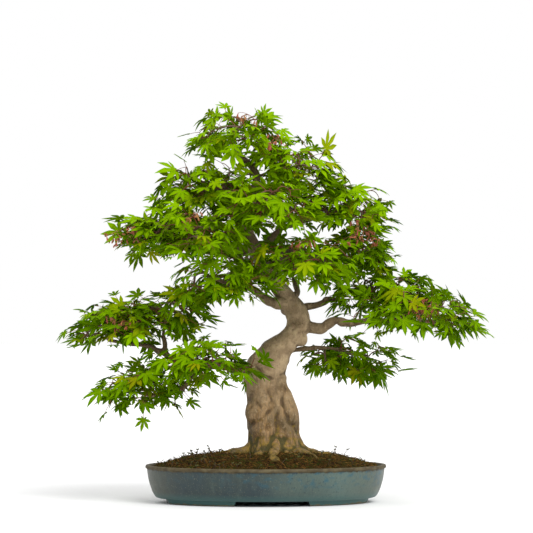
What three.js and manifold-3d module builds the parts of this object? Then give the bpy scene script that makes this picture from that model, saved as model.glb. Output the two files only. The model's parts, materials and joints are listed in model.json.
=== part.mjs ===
// A maple bonsai in a shallow oval glazed pot, in millimetres, with +Z up.
// The pot stands on its feet at z = 0, its long side along X, and the tree's best side faces -Y.
// Every piece that would come apart on a bench is its own mesh: the pot, the screens over its drain
// holes with their wire clips, the tie wire, the drainage grit, the soil, the moss, the tree's wood,
// and the leaves of each branch, which stand as one domed leaf canopy for each branch.
import * as THREE from "three";
import { mergeVertices } from "three/addons/utils/BufferGeometryUtils.js";
import Module from "manifold-3d";

const wasm = await Module();
wasm.setup();

// ---- driving dimensions ----

const FIT_GAP = 0.35; // free space between pieces that touch

// Pot: an oval bowl with a lip and a foot ring.
const POT_LENGTH = 400;
const POT_WIDTH = 304;
const POT_HEIGHT = 62;
const POT_WALL = 7;
const POT_FLOOR = 8;
const LIP_HEIGHT = 6;
const LIP_OVERHANG = 2.4;
const FOOT_HEIGHT = 8;
const FOOT_INSET = 24; // from the rim's outline to the foot's outside
const FOOT_RING_WIDTH = 12;
const FOOT_TAPER = 3; // how far the foot draws in towards the table
const SIDE_GAP_WIDTH = 122; // gap between the feet on each long side
const END_GAP_WIDTH = 84; // gap between the feet at each end
const GAP_SLANT = 4; // how far each gap's ends lean
const DRAIN_RADIUS = 13;
const DRAIN_SPACING = 150; // between the two drain holes
const WIRE_HOLE_RADIUS = 3;
const WIRE_HOLE_SPACING = 176; // between the two small holes that the tie wire passes

// Screens and wires.
const SCREEN_SIDE = 36;
const SCREEN_THICKNESS = 1.2;
const SCREEN_HOLES_PER_SIDE = 5; // an odd number, so that one stands over the drain hole's middle
const SCREEN_BAR = 2;
const CLIP_WIRE_RADIUS = 0.8;
const TIE_WIRE_RADIUS = 1;

// Growing layers.
const GRIT_DEPTH = 8;
const SOIL_EDGE_DROP = 5; // from the rim down to the moss where it meets the wall
const MOUND_RISE = 27; // from that edge up to the foot of the trunk
const MOUND_FULLNESS = 1.5; // 1 for an even dome, more for a fuller one
const MOSS_THICKNESS = 4;

// Tree.
const TREE_TURN = THREE.MathUtils.degToRad(-5); // the tree's best side, turned from the pot's
const SOIL_LINE = 84; // where the moss meets the trunk, on the heights given below
const ROOT_COUNT = 9;
const ROOT_LENGTH = 74;
const ROOT_RADIUS = 16;
const ROOT_MASS_RADIUS = 88; // half width of the flat root mass in the soil
const ROOT_MASS_DEPTH = 22;
const CANOPY_UNDERSIDE = 0.7; // how far the leaves hang below a canopy's middle, against its height

const FULL_TURN = 2 * Math.PI;
const halfLength = POT_LENGTH / 2;
const halfWidth = POT_WIDTH / 2;
const POT_SEGMENTS = 40;
const CANOPY_SEGMENTS = 12;
const CANOPY_RINGS = 6;

// The trunk's line from the root mass to its tip: [x, y, z, half width across X, half width across Y].
const TRUNK = [
  [14, 0, 50, 50, 46], [14, 0, 84, 49, 45], [12, 0, 104, 43.5, 40], [10.5, 0, 126, 43, 39],
  [10, 0, 145, 43.5, 40], [6.5, 0, 165, 38.5, 36], [2.5, 0, 182, 34.5, 33], [-0.5, 0, 202, 35.5, 34],
  [1.5, -2, 220, 35, 34], [8.5, -4, 234, 30, 33], [18.5, -6, 249.5, 25, 28], [31, -6, 262.5, 20, 24],
  [42.5, -4, 274, 18.5, 21], [51, 0, 287, 18.8, 20], [53.5, 3, 300, 18.8, 19], [50, 5, 314, 18.5, 18],
  [42, 6, 328, 16.5, 16], [31, 6, 342, 15, 15], [20, 4, 357, 13.5, 14], [9, 2, 373, 12.5, 13],
  [-2, 0, 390, 12, 12], [-12, -2, 408, 12, 12], [-22, -4, 427, 11.5, 11.5], [-30, -2, 446, 10.5, 10.5],
  [-35, 2, 465, 9.5, 9.5], [-36, 6, 484, 9, 9], [-31, 8, 500, 8.5, 8.5], [-22, 8, 514, 8, 8],
  [-16, 6, 528, 7, 7], [-17, 3, 543, 6.5, 6.5], [-24, 0, 556, 6, 6], [-35, -2, 566, 5.5, 5.5],
  [-46, -2, 575, 4.5, 4.5], [-52, 0, 590, 3.6, 3.6], [-50, 2, 610, 2.5, 2.5],
];

// Old knots that swell the trunk: [x, y, z, radius].
const BURLS = [
  [56, -8, 269, 13], [-8, -14, 234, 16], [38, -8, 146, 18], [-16, -14, 152, 20], [66, 0, 291, 12],
];

// Each main branch: its radius where it leaves the wood, at its tip, and the points that it follows.
const BRANCHES = {
  left_low: [12, 3, [[-14, -4, 214], [-45, -14, 222], [-70, -22, 227], [-98, -26, 229], [-122, -24, 229],
    [-146, -16, 232], [-170, -8, 247], [-196, -2, 258], [-228, 2, 262], [-262, 4, 268]]],
  left_drop: [5.5, 2, [[-120, -24, 229], [-124, -28, 206], [-140, -30, 190], [-163, -28, 180],
    [-190, -24, 177], [-213, -20, 183], [-238, -16, 190]]],
  left_rise: [5, 2, [[-164, -10, 244], [-168, -10, 262], [-170, -14, 282], [-166, -18, 300]]],
  left_front: [5, 2, [[-66, -22, 227], [-74, -46, 226], [-78, -72, 225], [-80, -92, 226]]],
  right_low: [5.5, 1.8, [[22, 8, 246], [50, 24, 251], [72, 34, 254], [90, 42, 255], [108, 50, 253],
    [125, 58, 248], [145, 66, 243], [170, 74, 240]]],
  right_main: [10.5, 2.5, [[50, 0, 288], [72, -2, 289], [92, -6, 288], [104, -8, 296], [114, -10, 300],
    [128, -12, 296], [150, -14, 297], [180, -18, 299], [215, -22, 299], [248, -22, 298], [285, -18, 300]]],
  right_upper: [7.5, 2.2, [[44, 6, 318], [62, 14, 322], [82, 24, 325], [98, 32, 332], [106, 36, 337],
    [116, 40, 334], [121, 44, 343], [132, 50, 350], [152, 54, 352], [180, 54, 353], [206, 48, 358]]],
  middle_left: [11, 2.5, [[32, 2, 328], [8, -14, 332], [-10, -28, 345], [-28, -40, 356], [-52, -52, 360],
    [-76, -62, 366], [-96, -68, 374]]],
  upper_left: [8.5, 2.5, [[-18, 0, 424], [-42, 6, 414], [-66, 12, 411], [-90, 14, 413], [-118, 12, 418],
    [-142, 8, 421], [-166, 4, 429], [-190, 2, 440]]],
  front_left: [6.5, 2, [[-27, -2, 440], [-48, -14, 444], [-68, -32, 450], [-82, -54, 458], [-90, -78, 466]]],
  upper_right: [7, 2, [[-12, -2, 412], [4, -6, 430], [18, -4, 446], [36, 2, 457], [58, 8, 464],
    [80, 12, 470], [110, 14, 478], [138, 12, 488]]],
  lower_right: [6.5, 2, [[4, 2, 382], [24, 10, 398], [46, 20, 404], [72, 28, 407], [96, 34, 410],
    [118, 38, 418], [140, 38, 424], [160, 34, 428]]],
  front_low: [6, 1.8, [[0, -4, 390], [8, -36, 402], [26, -66, 412], [44, -88, 418]]],
  crown_left: [5, 1.6, [[-32, 6, 498], [-48, 8, 510], [-68, 8, 518], [-92, 6, 524], [-116, 2, 536]]],
  crown_right: [4.5, 1.6, [[-21, 8, 515], [0, 4, 510], [24, 0, 512], [44, -6, 522], [58, -10, 536],
    [66, -12, 552]]],
  crown_thin: [3.4, 1.4, [[-17, 4, 536], [2, 2, 546], [16, -4, 560]]],
  crown_front: [5, 1.6, [[-34, 0, 468], [-26, -36, 482], [-14, -68, 496], [-6, -92, 510]]],
  back_low: [7, 2, [[42, 8, 330], [52, 40, 346], [50, 80, 360], [42, 116, 376], [36, 138, 392]]],
  back_upper: [6, 1.8, [[-31, 2, 450], [-30, 40, 468], [-24, 78, 484], [-16, 110, 502]]],
  back_left: [5, 1.8, [[-26, 2, 436], [-60, 40, 442], [-92, 68, 452], [-116, 88, 464]]],
};

// Each branch's leaf canopy: [middle x, y, z, half width X, half width Y, height above the middle, and
// how far it leans down towards +X in degrees].
const CANOPIES = {
  apex: [-48, 0, 602, 80, 80, 56, 0],
  crown_right: [52, -6, 548, 80, 86, 53, 20],
  crown_left: [-106, 4, 518, 82, 86, 56, -12],
  crown_front: [2, -90, 480, 96, 76, 62, 0],
  upper_right: [126, 8, 482, 82, 98, 62, 14],
  upper_left: [-174, 4, 442, 80, 92, 52, -6],
  front_left: [-100, -86, 434, 84, 76, 54, -4],
  front_low: [70, -92, 392, 90, 76, 54, 6],
  lower_right: [156, 36, 410, 60, 92, 46, 10],
  middle_left: [-62, -72, 358, 92, 86, 58, -2],
  right_upper: [200, 50, 340, 88, 88, 48, 5],
  right_main: [264, -20, 302, 114, 92, 54, 4],
  right_low: [142, 74, 228, 88, 74, 48, 6],
  left_rise: [-176, -16, 304, 84, 84, 56, -6],
  left_low: [-246, 4, 286, 82, 88, 60, -2],
  left_front: [-92, -84, 228, 92, 68, 52, 0],
  left_drop: [-204, -20, 182, 86, 76, 48, -6],
  back_low: [30, 136, 394, 114, 76, 56, 0],
  back_upper: [-16, 112, 494, 108, 80, 60, 0],
  back_left: [-130, 90, 448, 90, 76, 54, -6],
};

// ---- solids from three.js geometry ----

// A closed geometry as a manifold-3d solid, for joining and cutting.
function solidOf(geometry) {
  const bare = geometry.clone();
  bare.deleteAttribute("normal");
  bare.deleteAttribute("uv");
  const merged = mergeVertices(bare, 1e-4);
  return new wasm.Manifold(new wasm.Mesh({
    numProp: 3,
    vertProperties: new Float32Array(merged.attributes.position.array),
    triVerts: new Uint32Array(merged.index.array),
  }));
}

// A manifold-3d solid as a flat-shaded three.js geometry.
function geometryOf(solid) {
  const { numProp, vertProperties, triVerts } = solid.getMesh();
  const corners = new Float32Array(triVerts.length * 3);
  triVerts.forEach((vertex, i) => {
    const at = vertex * numProp;
    corners.set(vertProperties.subarray(at, at + 3), i * 3);
  });
  const geometry = new THREE.BufferGeometry();
  geometry.setAttribute("position", new THREE.BufferAttribute(corners, 3));
  geometry.computeVertexNormals();
  return geometry;
}

const joined = (solids) => solids.reduce((all, next) => all.add(next));

function cutFrom(solid, cutters) {
  return cutters.reduce((left, cutter) => left.subtract(cutter), solid);
}

// An oval solid of revolution. The profile lists [inset from the rim's outline, z, reach], and that
// outline is an ellipse of the pot's length and width, so a wall keeps its thickness all the way round.
// A reach below 1 draws its oval in towards the middle, and 0 puts the point on the axis.
function ovalTurned(profile) {
  const reachOf = ([, , reach = 1]) => reach;
  const points = profile.map((entry) =>
    new THREE.Vector2((halfLength - entry[0]) * reachOf(entry), entry[1]));
  const geometry = new THREE.LatheGeometry(points, POT_SEGMENTS);
  const position = geometry.attributes.position;
  for (let i = 0; i < position.count; i++) {
    const entry = profile[i % profile.length];
    const angle = FULL_TURN * (Math.floor(i / profile.length) % POT_SEGMENTS) / POT_SEGMENTS;
    const across = (halfLength - entry[0]) * reachOf(entry);
    const deep = (halfWidth - entry[0]) * reachOf(entry);
    position.setXYZ(i, across * Math.cos(angle), deep * Math.sin(angle), entry[1]);
  }
  return geometry;
}

// A tube along a curve whose radius comes from radiusAt(t). With flatness, the section keeps its
// first axis across X and its second across Y, as a trunk's does.
function taperedTube(curve, radiusAt, sides, steps, upright = false) {
  const geometry = new THREE.CylinderGeometry(1, 1, 1, sides, steps);
  const frames = curve.computeFrenetFrames(steps, false);
  const position = geometry.attributes.position;
  for (let i = 0; i < position.count; i++) {
    const step = Math.round((position.getY(i) + 0.5) * steps);
    const t = step / steps;
    const tangent = frames.tangents[step];
    const side = upright
      ? new THREE.Vector3(0, 1, 0).cross(tangent).normalize()
      : frames.normals[step];
    const depth = tangent.clone().cross(side);
    const [wide, deep] = radiusAt(t);
    const point = curve.getPointAt(t)
      .addScaledVector(side, position.getX(i) * wide)
      .addScaledVector(depth, -position.getZ(i) * deep);
    position.setXYZ(i, point.x, point.y, point.z);
  }
  return geometry;
}

const vectors = (points) => points.map(([x, y, z]) => new THREE.Vector3(x, y, z));

// ---- pot ----

const floorTop = FOOT_HEIGHT + POT_FLOOR;

// The bowl's outside from the foot ring up to the lip, as [inset, z].
function outerWall() {
  const lipBottom = POT_HEIGHT - LIP_HEIGHT;
  const belly = new THREE.CubicBezierCurve(
    new THREE.Vector2(FOOT_INSET - 4, FOOT_HEIGHT),
    new THREE.Vector2(LIP_OVERHANG + 11.6, FOOT_HEIGHT + 0.6),
    new THREE.Vector2(LIP_OVERHANG + 2.1, lipBottom - 24),
    new THREE.Vector2(LIP_OVERHANG, lipBottom),
  );
  return belly.getPoints(5).map((p) => [p.x, p.y]);
}

// The bowl's inside from the floor's edge up to the rim, as [inset, z].
function innerWall() {
  return [
    [FOOT_INSET + 4, floorTop],
    [POT_WALL + 13, floorTop + 5],
    [POT_WALL + 7, floorTop + 16],
    [POT_WALL + 2, POT_HEIGHT - 2],
    [POT_WALL, POT_HEIGHT],
  ];
}

function footGap(width, length, alongX) {
  const top = FOOT_HEIGHT;
  const outline = new THREE.Shape([
    new THREE.Vector2(-width / 2 - GAP_SLANT / 2, -1),
    new THREE.Vector2(width / 2 + GAP_SLANT / 2, -1),
    new THREE.Vector2(width / 2 - GAP_SLANT / 2, top),
    new THREE.Vector2(-width / 2 + GAP_SLANT / 2, top),
  ]);
  const gap = new THREE.ExtrudeGeometry(outline, { depth: length, bevelEnabled: false });
  gap.translate(0, 0, -length / 2).rotateX(Math.PI / 2);
  return alongX ? gap.rotateZ(Math.PI / 2) : gap;
}

function uprightCylinder(radius, from, to, x, y, sides = 24) {
  return new THREE.CylinderGeometry(radius, radius, to - from, sides)
    .rotateX(Math.PI / 2)
    .translate(x, y, (from + to) / 2);
}

function makePot() {
  const footInside = FOOT_INSET + FOOT_RING_WIDTH;
  const bowl = ovalTurned([
    [footInside, FOOT_HEIGHT, 0],
    [footInside, FOOT_HEIGHT],
    [footInside, 0],
    [FOOT_INSET + FOOT_TAPER, 0],
    [FOOT_INSET, FOOT_HEIGHT],
    ...outerWall(),
    [0, POT_HEIGHT - LIP_HEIGHT + 1],
    [0, POT_HEIGHT - 1.5],
    [1.5, POT_HEIGHT],
    ...innerWall().reverse(),
    [FOOT_INSET, floorTop, 0],
  ]);
  const holeFrom = FOOT_HEIGHT - 1;
  const holeTo = floorTop + 1;
  const drains = [-1, 1].map((side) =>
    uprightCylinder(DRAIN_RADIUS, holeFrom, holeTo, side * DRAIN_SPACING / 2, 0));
  const wireHoles = [-1, 1].map((side) =>
    uprightCylinder(WIRE_HOLE_RADIUS, holeFrom, holeTo, 0, side * WIRE_HOLE_SPACING / 2, 12));
  const gaps = [
    footGap(SIDE_GAP_WIDTH, POT_WIDTH, false),
    footGap(END_GAP_WIDTH, POT_LENGTH, true),
  ];
  return cutFrom(solidOf(bowl), [...drains, ...wireHoles, ...gaps].map(solidOf));
}

// ---- screens, clips and tie wire ----

const screenPitch = (SCREEN_SIDE - SCREEN_BAR) / SCREEN_HOLES_PER_SIDE;

// A square plate with rows of square holes.
function makeScreen() {
  const plate = solidOf(new THREE.BoxGeometry(SCREEN_SIDE, SCREEN_SIDE, SCREEN_THICKNESS));
  const hole = screenPitch - SCREEN_BAR;
  const holes = [];
  for (let row = 0; row < SCREEN_HOLES_PER_SIDE; row++) {
    for (let column = 0; column < SCREEN_HOLES_PER_SIDE; column++) {
      const x = (column - (SCREEN_HOLES_PER_SIDE - 1) / 2) * screenPitch;
      const y = (row - (SCREEN_HOLES_PER_SIDE - 1) / 2) * screenPitch;
      holes.push(solidOf(new THREE.BoxGeometry(hole, hole, 2 * SCREEN_THICKNESS).translate(x, y, 0)));
    }
  }
  return cutFrom(plate, holes);
}

function wire(points, radius, steps) {
  const section = new THREE.Shape(
    new THREE.Path().absarc(0, 0, radius, 0, FULL_TURN).getPoints(3).slice(0, -1));
  const path = new THREE.CatmullRomCurve3(vectors(points), false, "centripetal");
  return new THREE.ExtrudeGeometry(section, { steps, bevelEnabled: false, extrudePath: path });
}

const screenBottom = floorTop + FIT_GAP;
const screenTop = screenBottom + SCREEN_THICKNESS;

// A staple of wire: it lies over the screen, passes down through the mesh and the drain hole, and
// its two ends turn out under the pot's floor.
function clipPath() {
  const over = screenTop + FIT_GAP + CLIP_WIRE_RADIUS;
  const under = FOOT_HEIGHT - FIT_GAP - CLIP_WIRE_RADIUS;
  const leg = screenPitch;
  const turnedOut = DRAIN_RADIUS + 6;
  return [
    [0, -turnedOut, under], [0, -leg - 2, under], [0, -leg, under + 2], [0, -leg, over - 1.5],
    [0, -leg + 1.5, over], [0, leg - 1.5, over], [0, leg, over - 1.5], [0, leg, under + 2],
    [0, leg + 2, under], [0, turnedOut, under],
  ];
}

// One wire through both wire holes: flat under the floor, then up through the grit and the soil on
// each side of the root mass, its ends bent in over the roots.
function makeTieWire(extra = 0) {
  const hole = WIRE_HOLE_SPACING / 2;
  const under = FOOT_HEIGHT - 2 * TIE_WIRE_RADIUS;
  const half = [
    [0, hole / 2, under], [0, hole - 6, under], [0, hole - 1, under + 0.4], [0, hole, under + 3],
    [0, hole, floorTop + 8],
    [-1, hole - 2, floorTop + 18], [-3, hole - 9, floorTop + 27],
  ];
  const otherHalf = half.map(([x, y, z]) => [-x, -y, z]);
  return solidOf(wire([...otherHalf.reverse(), ...half], TIE_WIRE_RADIUS + extra, 54));
}

// ---- tree ----

const trunkLine = new THREE.CatmullRomCurve3(vectors(TRUNK), false, "centripetal");

function trunkRadii(extra) {
  const last = TRUNK.length - 1;
  return (t) => {
    const along = trunkLine.getUtoTmapping(t) * last;
    const below = Math.min(Math.floor(along), last - 1);
    const share = along - below;
    const mixed = (k) => THREE.MathUtils.lerp(TRUNK[below][k], TRUNK[below + 1][k], share) + extra;
    return [mixed(3), mixed(4)];
  };
}

function branchTube([baseRadius, tipRadius, points], extra) {
  const curve = new THREE.CatmullRomCurve3(vectors(points), false, "centripetal");
  const radiusAt = (t) => {
    const radius = THREE.MathUtils.lerp(baseRadius, tipRadius, t ** 0.7) + extra;
    return [radius, radius];
  };
  return taperedTube(curve, radiusAt, 6, points.length);
}

// The surface roots leave the trunk's foot as broad ridges, each a little different, and dive into
// the soil.
function rootTube(index, extra) {
  const angle = FULL_TURN * (index + 0.3 * Math.sin(2.4 * index)) / ROOT_COUNT;
  const reach = ROOT_LENGTH * (1 + 0.16 * Math.sin(3.7 * index + 1));
  const out = new THREE.Vector3(Math.cos(angle), 0.9 * Math.sin(angle), 0);
  const [footX, footY] = TRUNK[1];
  const foot = (share, z) => new THREE.Vector3(footX, footY, z).addScaledVector(out, reach * share);
  const curve = new THREE.CatmullRomCurve3(
    [foot(0.3, 108), foot(0.6, 90), foot(0.88, 77), foot(1.12, 69), foot(1.32, 58)], false, "centripetal");
  const radiusAt = (t) => {
    const radius = THREE.MathUtils.lerp(ROOT_RADIUS, ROOT_RADIUS * 0.3, t ** 0.8) + extra;
    return [radius, radius * 0.85];
  };
  return taperedTube(curve, radiusAt, 7, 5);
}

function rootMass(extra) {
  const [x, y, z] = TRUNK[0];
  return new THREE.SphereGeometry(1, 16, 6)
    .rotateX(Math.PI / 2)
    .scale(ROOT_MASS_RADIUS + extra, ROOT_MASS_RADIUS * 0.85 + extra, ROOT_MASS_DEPTH / 2 + extra)
    .translate(x, y, z);
}

function burl([x, y, z, radius], extra) {
  return new THREE.IcosahedronGeometry(radius + extra, 1).translate(x, y, z);
}

// All of the tree that is wood, grown as one piece. With extra, it is that much thicker all round,
// which is the space that its neighbours leave for it.
function makeWood(extra = 0) {
  const trunk = taperedTube(trunkLine, trunkRadii(extra), 14, 34, true);
  return joined([
    trunk,
    rootMass(extra),
    ...Array.from({ length: ROOT_COUNT }, (_, i) => rootTube(i, extra)),
    ...BURLS.map((b) => burl(b, extra)),
    ...Object.values(BRANCHES).map((b) => branchTube(b, extra)),
  ].map(solidOf));
}

// One branch's leaves as a closed, uneven cushion: a high dome above its middle and a shallow one
// below, with a wavy outline. With extra, it is that much larger all round.
function canopyCushion([x, y, z, acrossX, acrossY, height, lean], phase, extra = 0) {
  const geometry = new THREE.SphereGeometry(1, CANOPY_SEGMENTS, CANOPY_RINGS).rotateX(Math.PI / 2);
  const position = geometry.attributes.position;
  for (let i = 0; i < position.count; i++) {
    const angle = Math.atan2(position.getY(i), position.getX(i));
    const up = position.getZ(i);
    const edge = Math.sqrt(Math.max(0, 1 - up * up));
    const wave = 1 + edge * (0.06 * Math.sin(3 * angle + phase) + 0.05 * Math.sin(5 * angle + 2 * phase));
    const tall = (up > 0 ? height : height * CANOPY_UNDERSIDE) + extra;
    position.setXYZ(
      i,
      (acrossX + extra) * wave * position.getX(i),
      (acrossY + extra) * wave * position.getY(i),
      tall * up,
    );
  }
  return geometry.rotateY(THREE.MathUtils.degToRad(lean)).translate(x, y, z);
}

const largestBody = (solid) => solid.decompose().reduce((a, b) => (a.volume() > b.volume() ? a : b));

// Every canopy in turn, cut clear of the wood and of the canopies before it.
function makeCanopies(woodSpace) {
  const spaces = [woodSpace];
  return Object.entries(CANOPIES).map(([name, canopy], index) => {
    const phase = 1.7 * index;
    const leaves = largestBody(cutFrom(solidOf(canopyCushion(canopy, phase)), spaces));
    spaces.push(solidOf(canopyCushion(canopy, phase, FIT_GAP)));
    return [name, leaves];
  });
}

// ---- growing layers ----

const potInside = innerWall().map(([inset, z]) => [inset + FIT_GAP, z + FIT_GAP]);

// How far inside the rim's outline a growing layer meets the wall at a height.
function insetAt(z) {
  const above = Math.max(1, potInside.findIndex(([, height]) => height >= z));
  const [lowInset, lowZ] = potInside[above - 1];
  const [highInset, highZ] = potInside[above];
  return THREE.MathUtils.mapLinear(z, lowZ, highZ, lowInset, highInset);
}

// The top of a growing layer from the pot's middle out to the wall.
function mound(edgeZ, rise) {
  const steps = 5;
  return Array.from({ length: steps + 1 }, (_, k) => {
    const reach = k / steps;
    return [insetAt(edgeZ), edgeZ + rise * Math.cos((Math.PI / 2) * reach ** MOUND_FULLNESS), reach];
  });
}

function flat(z) {
  return [[insetAt(z), z, 0], [insetAt(z), z]];
}

// A growing layer between two mounds, out to the pot's wall.
function potLayer(lower, upper) {
  const [, lowZ] = lower.at(-1);
  const [, highZ] = upper.at(-1);
  const wall = potInside.filter(([, z]) => z > lowZ + 0.5 && z < highZ - 0.5);
  return solidOf(ovalTurned([...lower, ...wall, ...upper.reverse()]));
}

const gritBottom = floorTop + FIT_GAP;
const gritTop = gritBottom + GRIT_DEPTH;
const mossEdge = POT_HEIGHT - SOIL_EDGE_DROP;
const soilEdge = mossEdge - MOSS_THICKNESS;

// Everything that stands in the way of the growing layers, with a fit gap round it.
function plantedPieces(woodSpace) {
  const screens = [-1, 1].map((side) => {
    const space = FIT_GAP + CLIP_WIRE_RADIUS * 2 + FIT_GAP;
    const height = screenTop + space + FIT_GAP - floorTop;
    return new THREE.BoxGeometry(SCREEN_SIDE + 2, SCREEN_SIDE + 2, height)
      .translate(side * DRAIN_SPACING / 2, 0, floorTop + height / 2);
  });
  return [woodSpace, makeTieWire(FIT_GAP), ...screens.map(solidOf)];
}

// ---- the object ----

const finish = (color, roughness, metalness = 0) =>
  new THREE.MeshStandardMaterial({ color, roughness, metalness, flatShading: true });
const glazedClay = finish(0x4f7379, 0.3);
const screenPlastic = finish(0x1d1f1e, 0.6);
const aluminiumWire = finish(0x8b8378, 0.4, 1);
const grit = finish(0x8c8279, 0.95);
const soil = finish(0x3a2a1c, 0.95);
const moss = finish(0x3f3a16, 0.95);
const bark = finish(0x8d7a63, 0.85);
const leaf = finish(0x5b8f12, 0.55);

function piece(name, geometry, material) {
  const mesh = new THREE.Mesh(geometry, material);
  mesh.name = name;
  return mesh;
}

const plant = new THREE.Group();
plant.add(piece("pot", geometryOf(makePot()), glazedClay));

for (const [word, side] of [["left", -1], ["right", 1]]) {
  const screen = piece(`drain_screen_${word}`, geometryOf(makeScreen()), screenPlastic);
  screen.position.set(side * DRAIN_SPACING / 2, 0, (screenBottom + screenTop) / 2);
  const clip = piece(`screen_clip_${word}`, wire(clipPath(), CLIP_WIRE_RADIUS, 26), aluminiumWire);
  clip.position.set(side * DRAIN_SPACING / 2, 0, 0);
  plant.add(screen, clip);
}
plant.add(piece("tie_wire", geometryOf(makeTieWire()), aluminiumWire));

const treeRise = mossEdge + MOUND_RISE - SOIL_LINE;
const woodSpace = makeWood(FIT_GAP);
const plantedWood = woodSpace
  .rotate([0, 0, THREE.MathUtils.radToDeg(TREE_TURN)])
  .translate([0, 0, treeRise]);
const planted = plantedPieces(plantedWood);
const gritLayer = potLayer(flat(gritBottom), flat(gritTop));
const soilLayer = potLayer(flat(gritTop + FIT_GAP), mound(soilEdge, MOUND_RISE));
const mossLayer = potLayer(mound(soilEdge + FIT_GAP, MOUND_RISE), mound(mossEdge, MOUND_RISE));
plant.add(
  piece("drainage_grit", geometryOf(cutFrom(gritLayer, planted)), grit),
  piece("soil", geometryOf(cutFrom(soilLayer, planted)), soil),
  piece("moss", geometryOf(largestBody(cutFrom(mossLayer, planted))), moss),
);

const tree = new THREE.Group();
tree.rotation.z = TREE_TURN;
tree.position.z = treeRise;
tree.add(piece("trunk_and_branches", geometryOf(makeWood()), bark));
for (const [name, leaves] of makeCanopies(woodSpace)) {
  tree.add(piece(`leaves_${name}`, geometryOf(leaves), leaf));
}
plant.add(tree);

// The origin is the middle of the whole plant's footprint, on the surface that it stands on.
const bounds = new THREE.Box3().setFromObject(plant, true);
const middle = bounds.getCenter(new THREE.Vector3());
plant.position.set(-middle.x, -middle.y, 0);

export default plant;
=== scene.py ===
"""A maple bonsai in a shallow oval glazed pot: the visual model over its CAD frame.

Run as a script in Blender 4.5. Lengths in the tables are millimetres in the tree's own axes, with the
pot's middle as origin, and every mesh is in metres in the frame's axes. Each piece is a surface
worked out as whole numpy arrays.
"""

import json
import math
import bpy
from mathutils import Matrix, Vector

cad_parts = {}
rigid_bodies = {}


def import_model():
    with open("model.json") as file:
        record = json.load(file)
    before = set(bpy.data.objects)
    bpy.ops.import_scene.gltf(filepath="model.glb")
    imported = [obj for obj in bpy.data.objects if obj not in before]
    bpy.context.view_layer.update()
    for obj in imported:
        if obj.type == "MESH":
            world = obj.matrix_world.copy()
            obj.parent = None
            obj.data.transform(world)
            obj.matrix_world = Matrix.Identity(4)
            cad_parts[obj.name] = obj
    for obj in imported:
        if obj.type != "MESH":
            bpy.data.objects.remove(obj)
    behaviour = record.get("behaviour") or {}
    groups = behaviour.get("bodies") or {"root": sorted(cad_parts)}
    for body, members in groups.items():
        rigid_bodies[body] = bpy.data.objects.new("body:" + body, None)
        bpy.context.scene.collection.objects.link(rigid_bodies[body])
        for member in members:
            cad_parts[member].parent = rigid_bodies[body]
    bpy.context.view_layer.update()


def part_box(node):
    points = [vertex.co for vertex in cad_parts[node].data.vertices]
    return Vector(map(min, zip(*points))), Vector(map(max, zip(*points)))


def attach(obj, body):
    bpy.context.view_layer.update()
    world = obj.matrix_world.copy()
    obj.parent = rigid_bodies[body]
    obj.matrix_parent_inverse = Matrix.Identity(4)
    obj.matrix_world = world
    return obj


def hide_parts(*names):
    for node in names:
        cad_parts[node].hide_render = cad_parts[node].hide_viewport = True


bl_info = {
    "name": "Maple Bonsai",
    "version": (1, 0, 0),
    "blender": (4, 5, 0),
    "location": "3D View > Sidebar > Bonsai",
    "description": "Builds a maple bonsai in an oval glazed pot from its sizes and colours",
    "category": "Add Mesh",
}

import bpy
import numpy as np

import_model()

MM = 0.001
TREE_TURN = math.radians(-5)

POT_LOW, POT_HIGH = (np.array(corner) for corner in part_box("pot"))
POT_MIDDLE = np.array([(POT_LOW[0] + POT_HIGH[0]) / 2, (POT_LOW[1] + POT_HIGH[1]) / 2, 0])
HALF_LENGTH, HALF_WIDTH = (POT_HIGH - POT_LOW)[:2] / 2 / MM
POT_HEIGHT = POT_HIGH[2] / MM

# Pot, in millimetres. Insets are measured inwards from the rim's outline.
WALL = 7
FLOOR_BOTTOM, FLOOR_TOP = 8, 16
LIP_HEIGHT = 6
LIP_OVERHANG = 2.4
FOOT_INSET, FOOT_INSIDE, FOOT_TAPER = 24, 36, 3
SIDE_GAP, END_GAP = 122, 84
DRAIN_RADIUS, DRAIN_SPACING = 13, 150
WIRE_HOLE_RADIUS, WIRE_HOLE_SPACING = 3, 176
SCREEN_PITCH, SCREEN_THICKNESS = 6.8, 1.2
CLIP_WIRE_RADIUS, TIE_WIRE_RADIUS = 0.8, 1.0
WIRE_PLAY = 0.02  # how much thinner the shown wires are than their nodes
FIT_GAP = 0.35  # free space between pieces that touch

# Tree, in millimetres.
ROOT_COUNT = 9
FINE_ROOT_COUNT = 13
ROOT_LENGTH = 74
ROOT_RADIUS = 16
ROOT_WAVER = 9
ROOT_MASS_RADIUS = 88
ROOT_MASS_HALF_DEPTH = 10.5
TRUNK_ROWS = 240
CROWN_WOOD_FROM = 545  # the height over which the trunk itself carries twigs
CROWN_MIDDLE = 440  # canopies over this height are lit more than those under it
USUAL_CANOPY_AREA = 7200  # half width times half depth of a canopy with the usual number of twigs

# Soil surface, in millimetres.
MOUND_EDGE = POT_HEIGHT - 5
MOUND_RISE = 27
MOUND_FULLNESS = 1.5
MOSS_THICKNESS = 3.4

# How far the studio floor lies under the feet, in metres.
FLOOR_DROP = 0.0005

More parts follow.
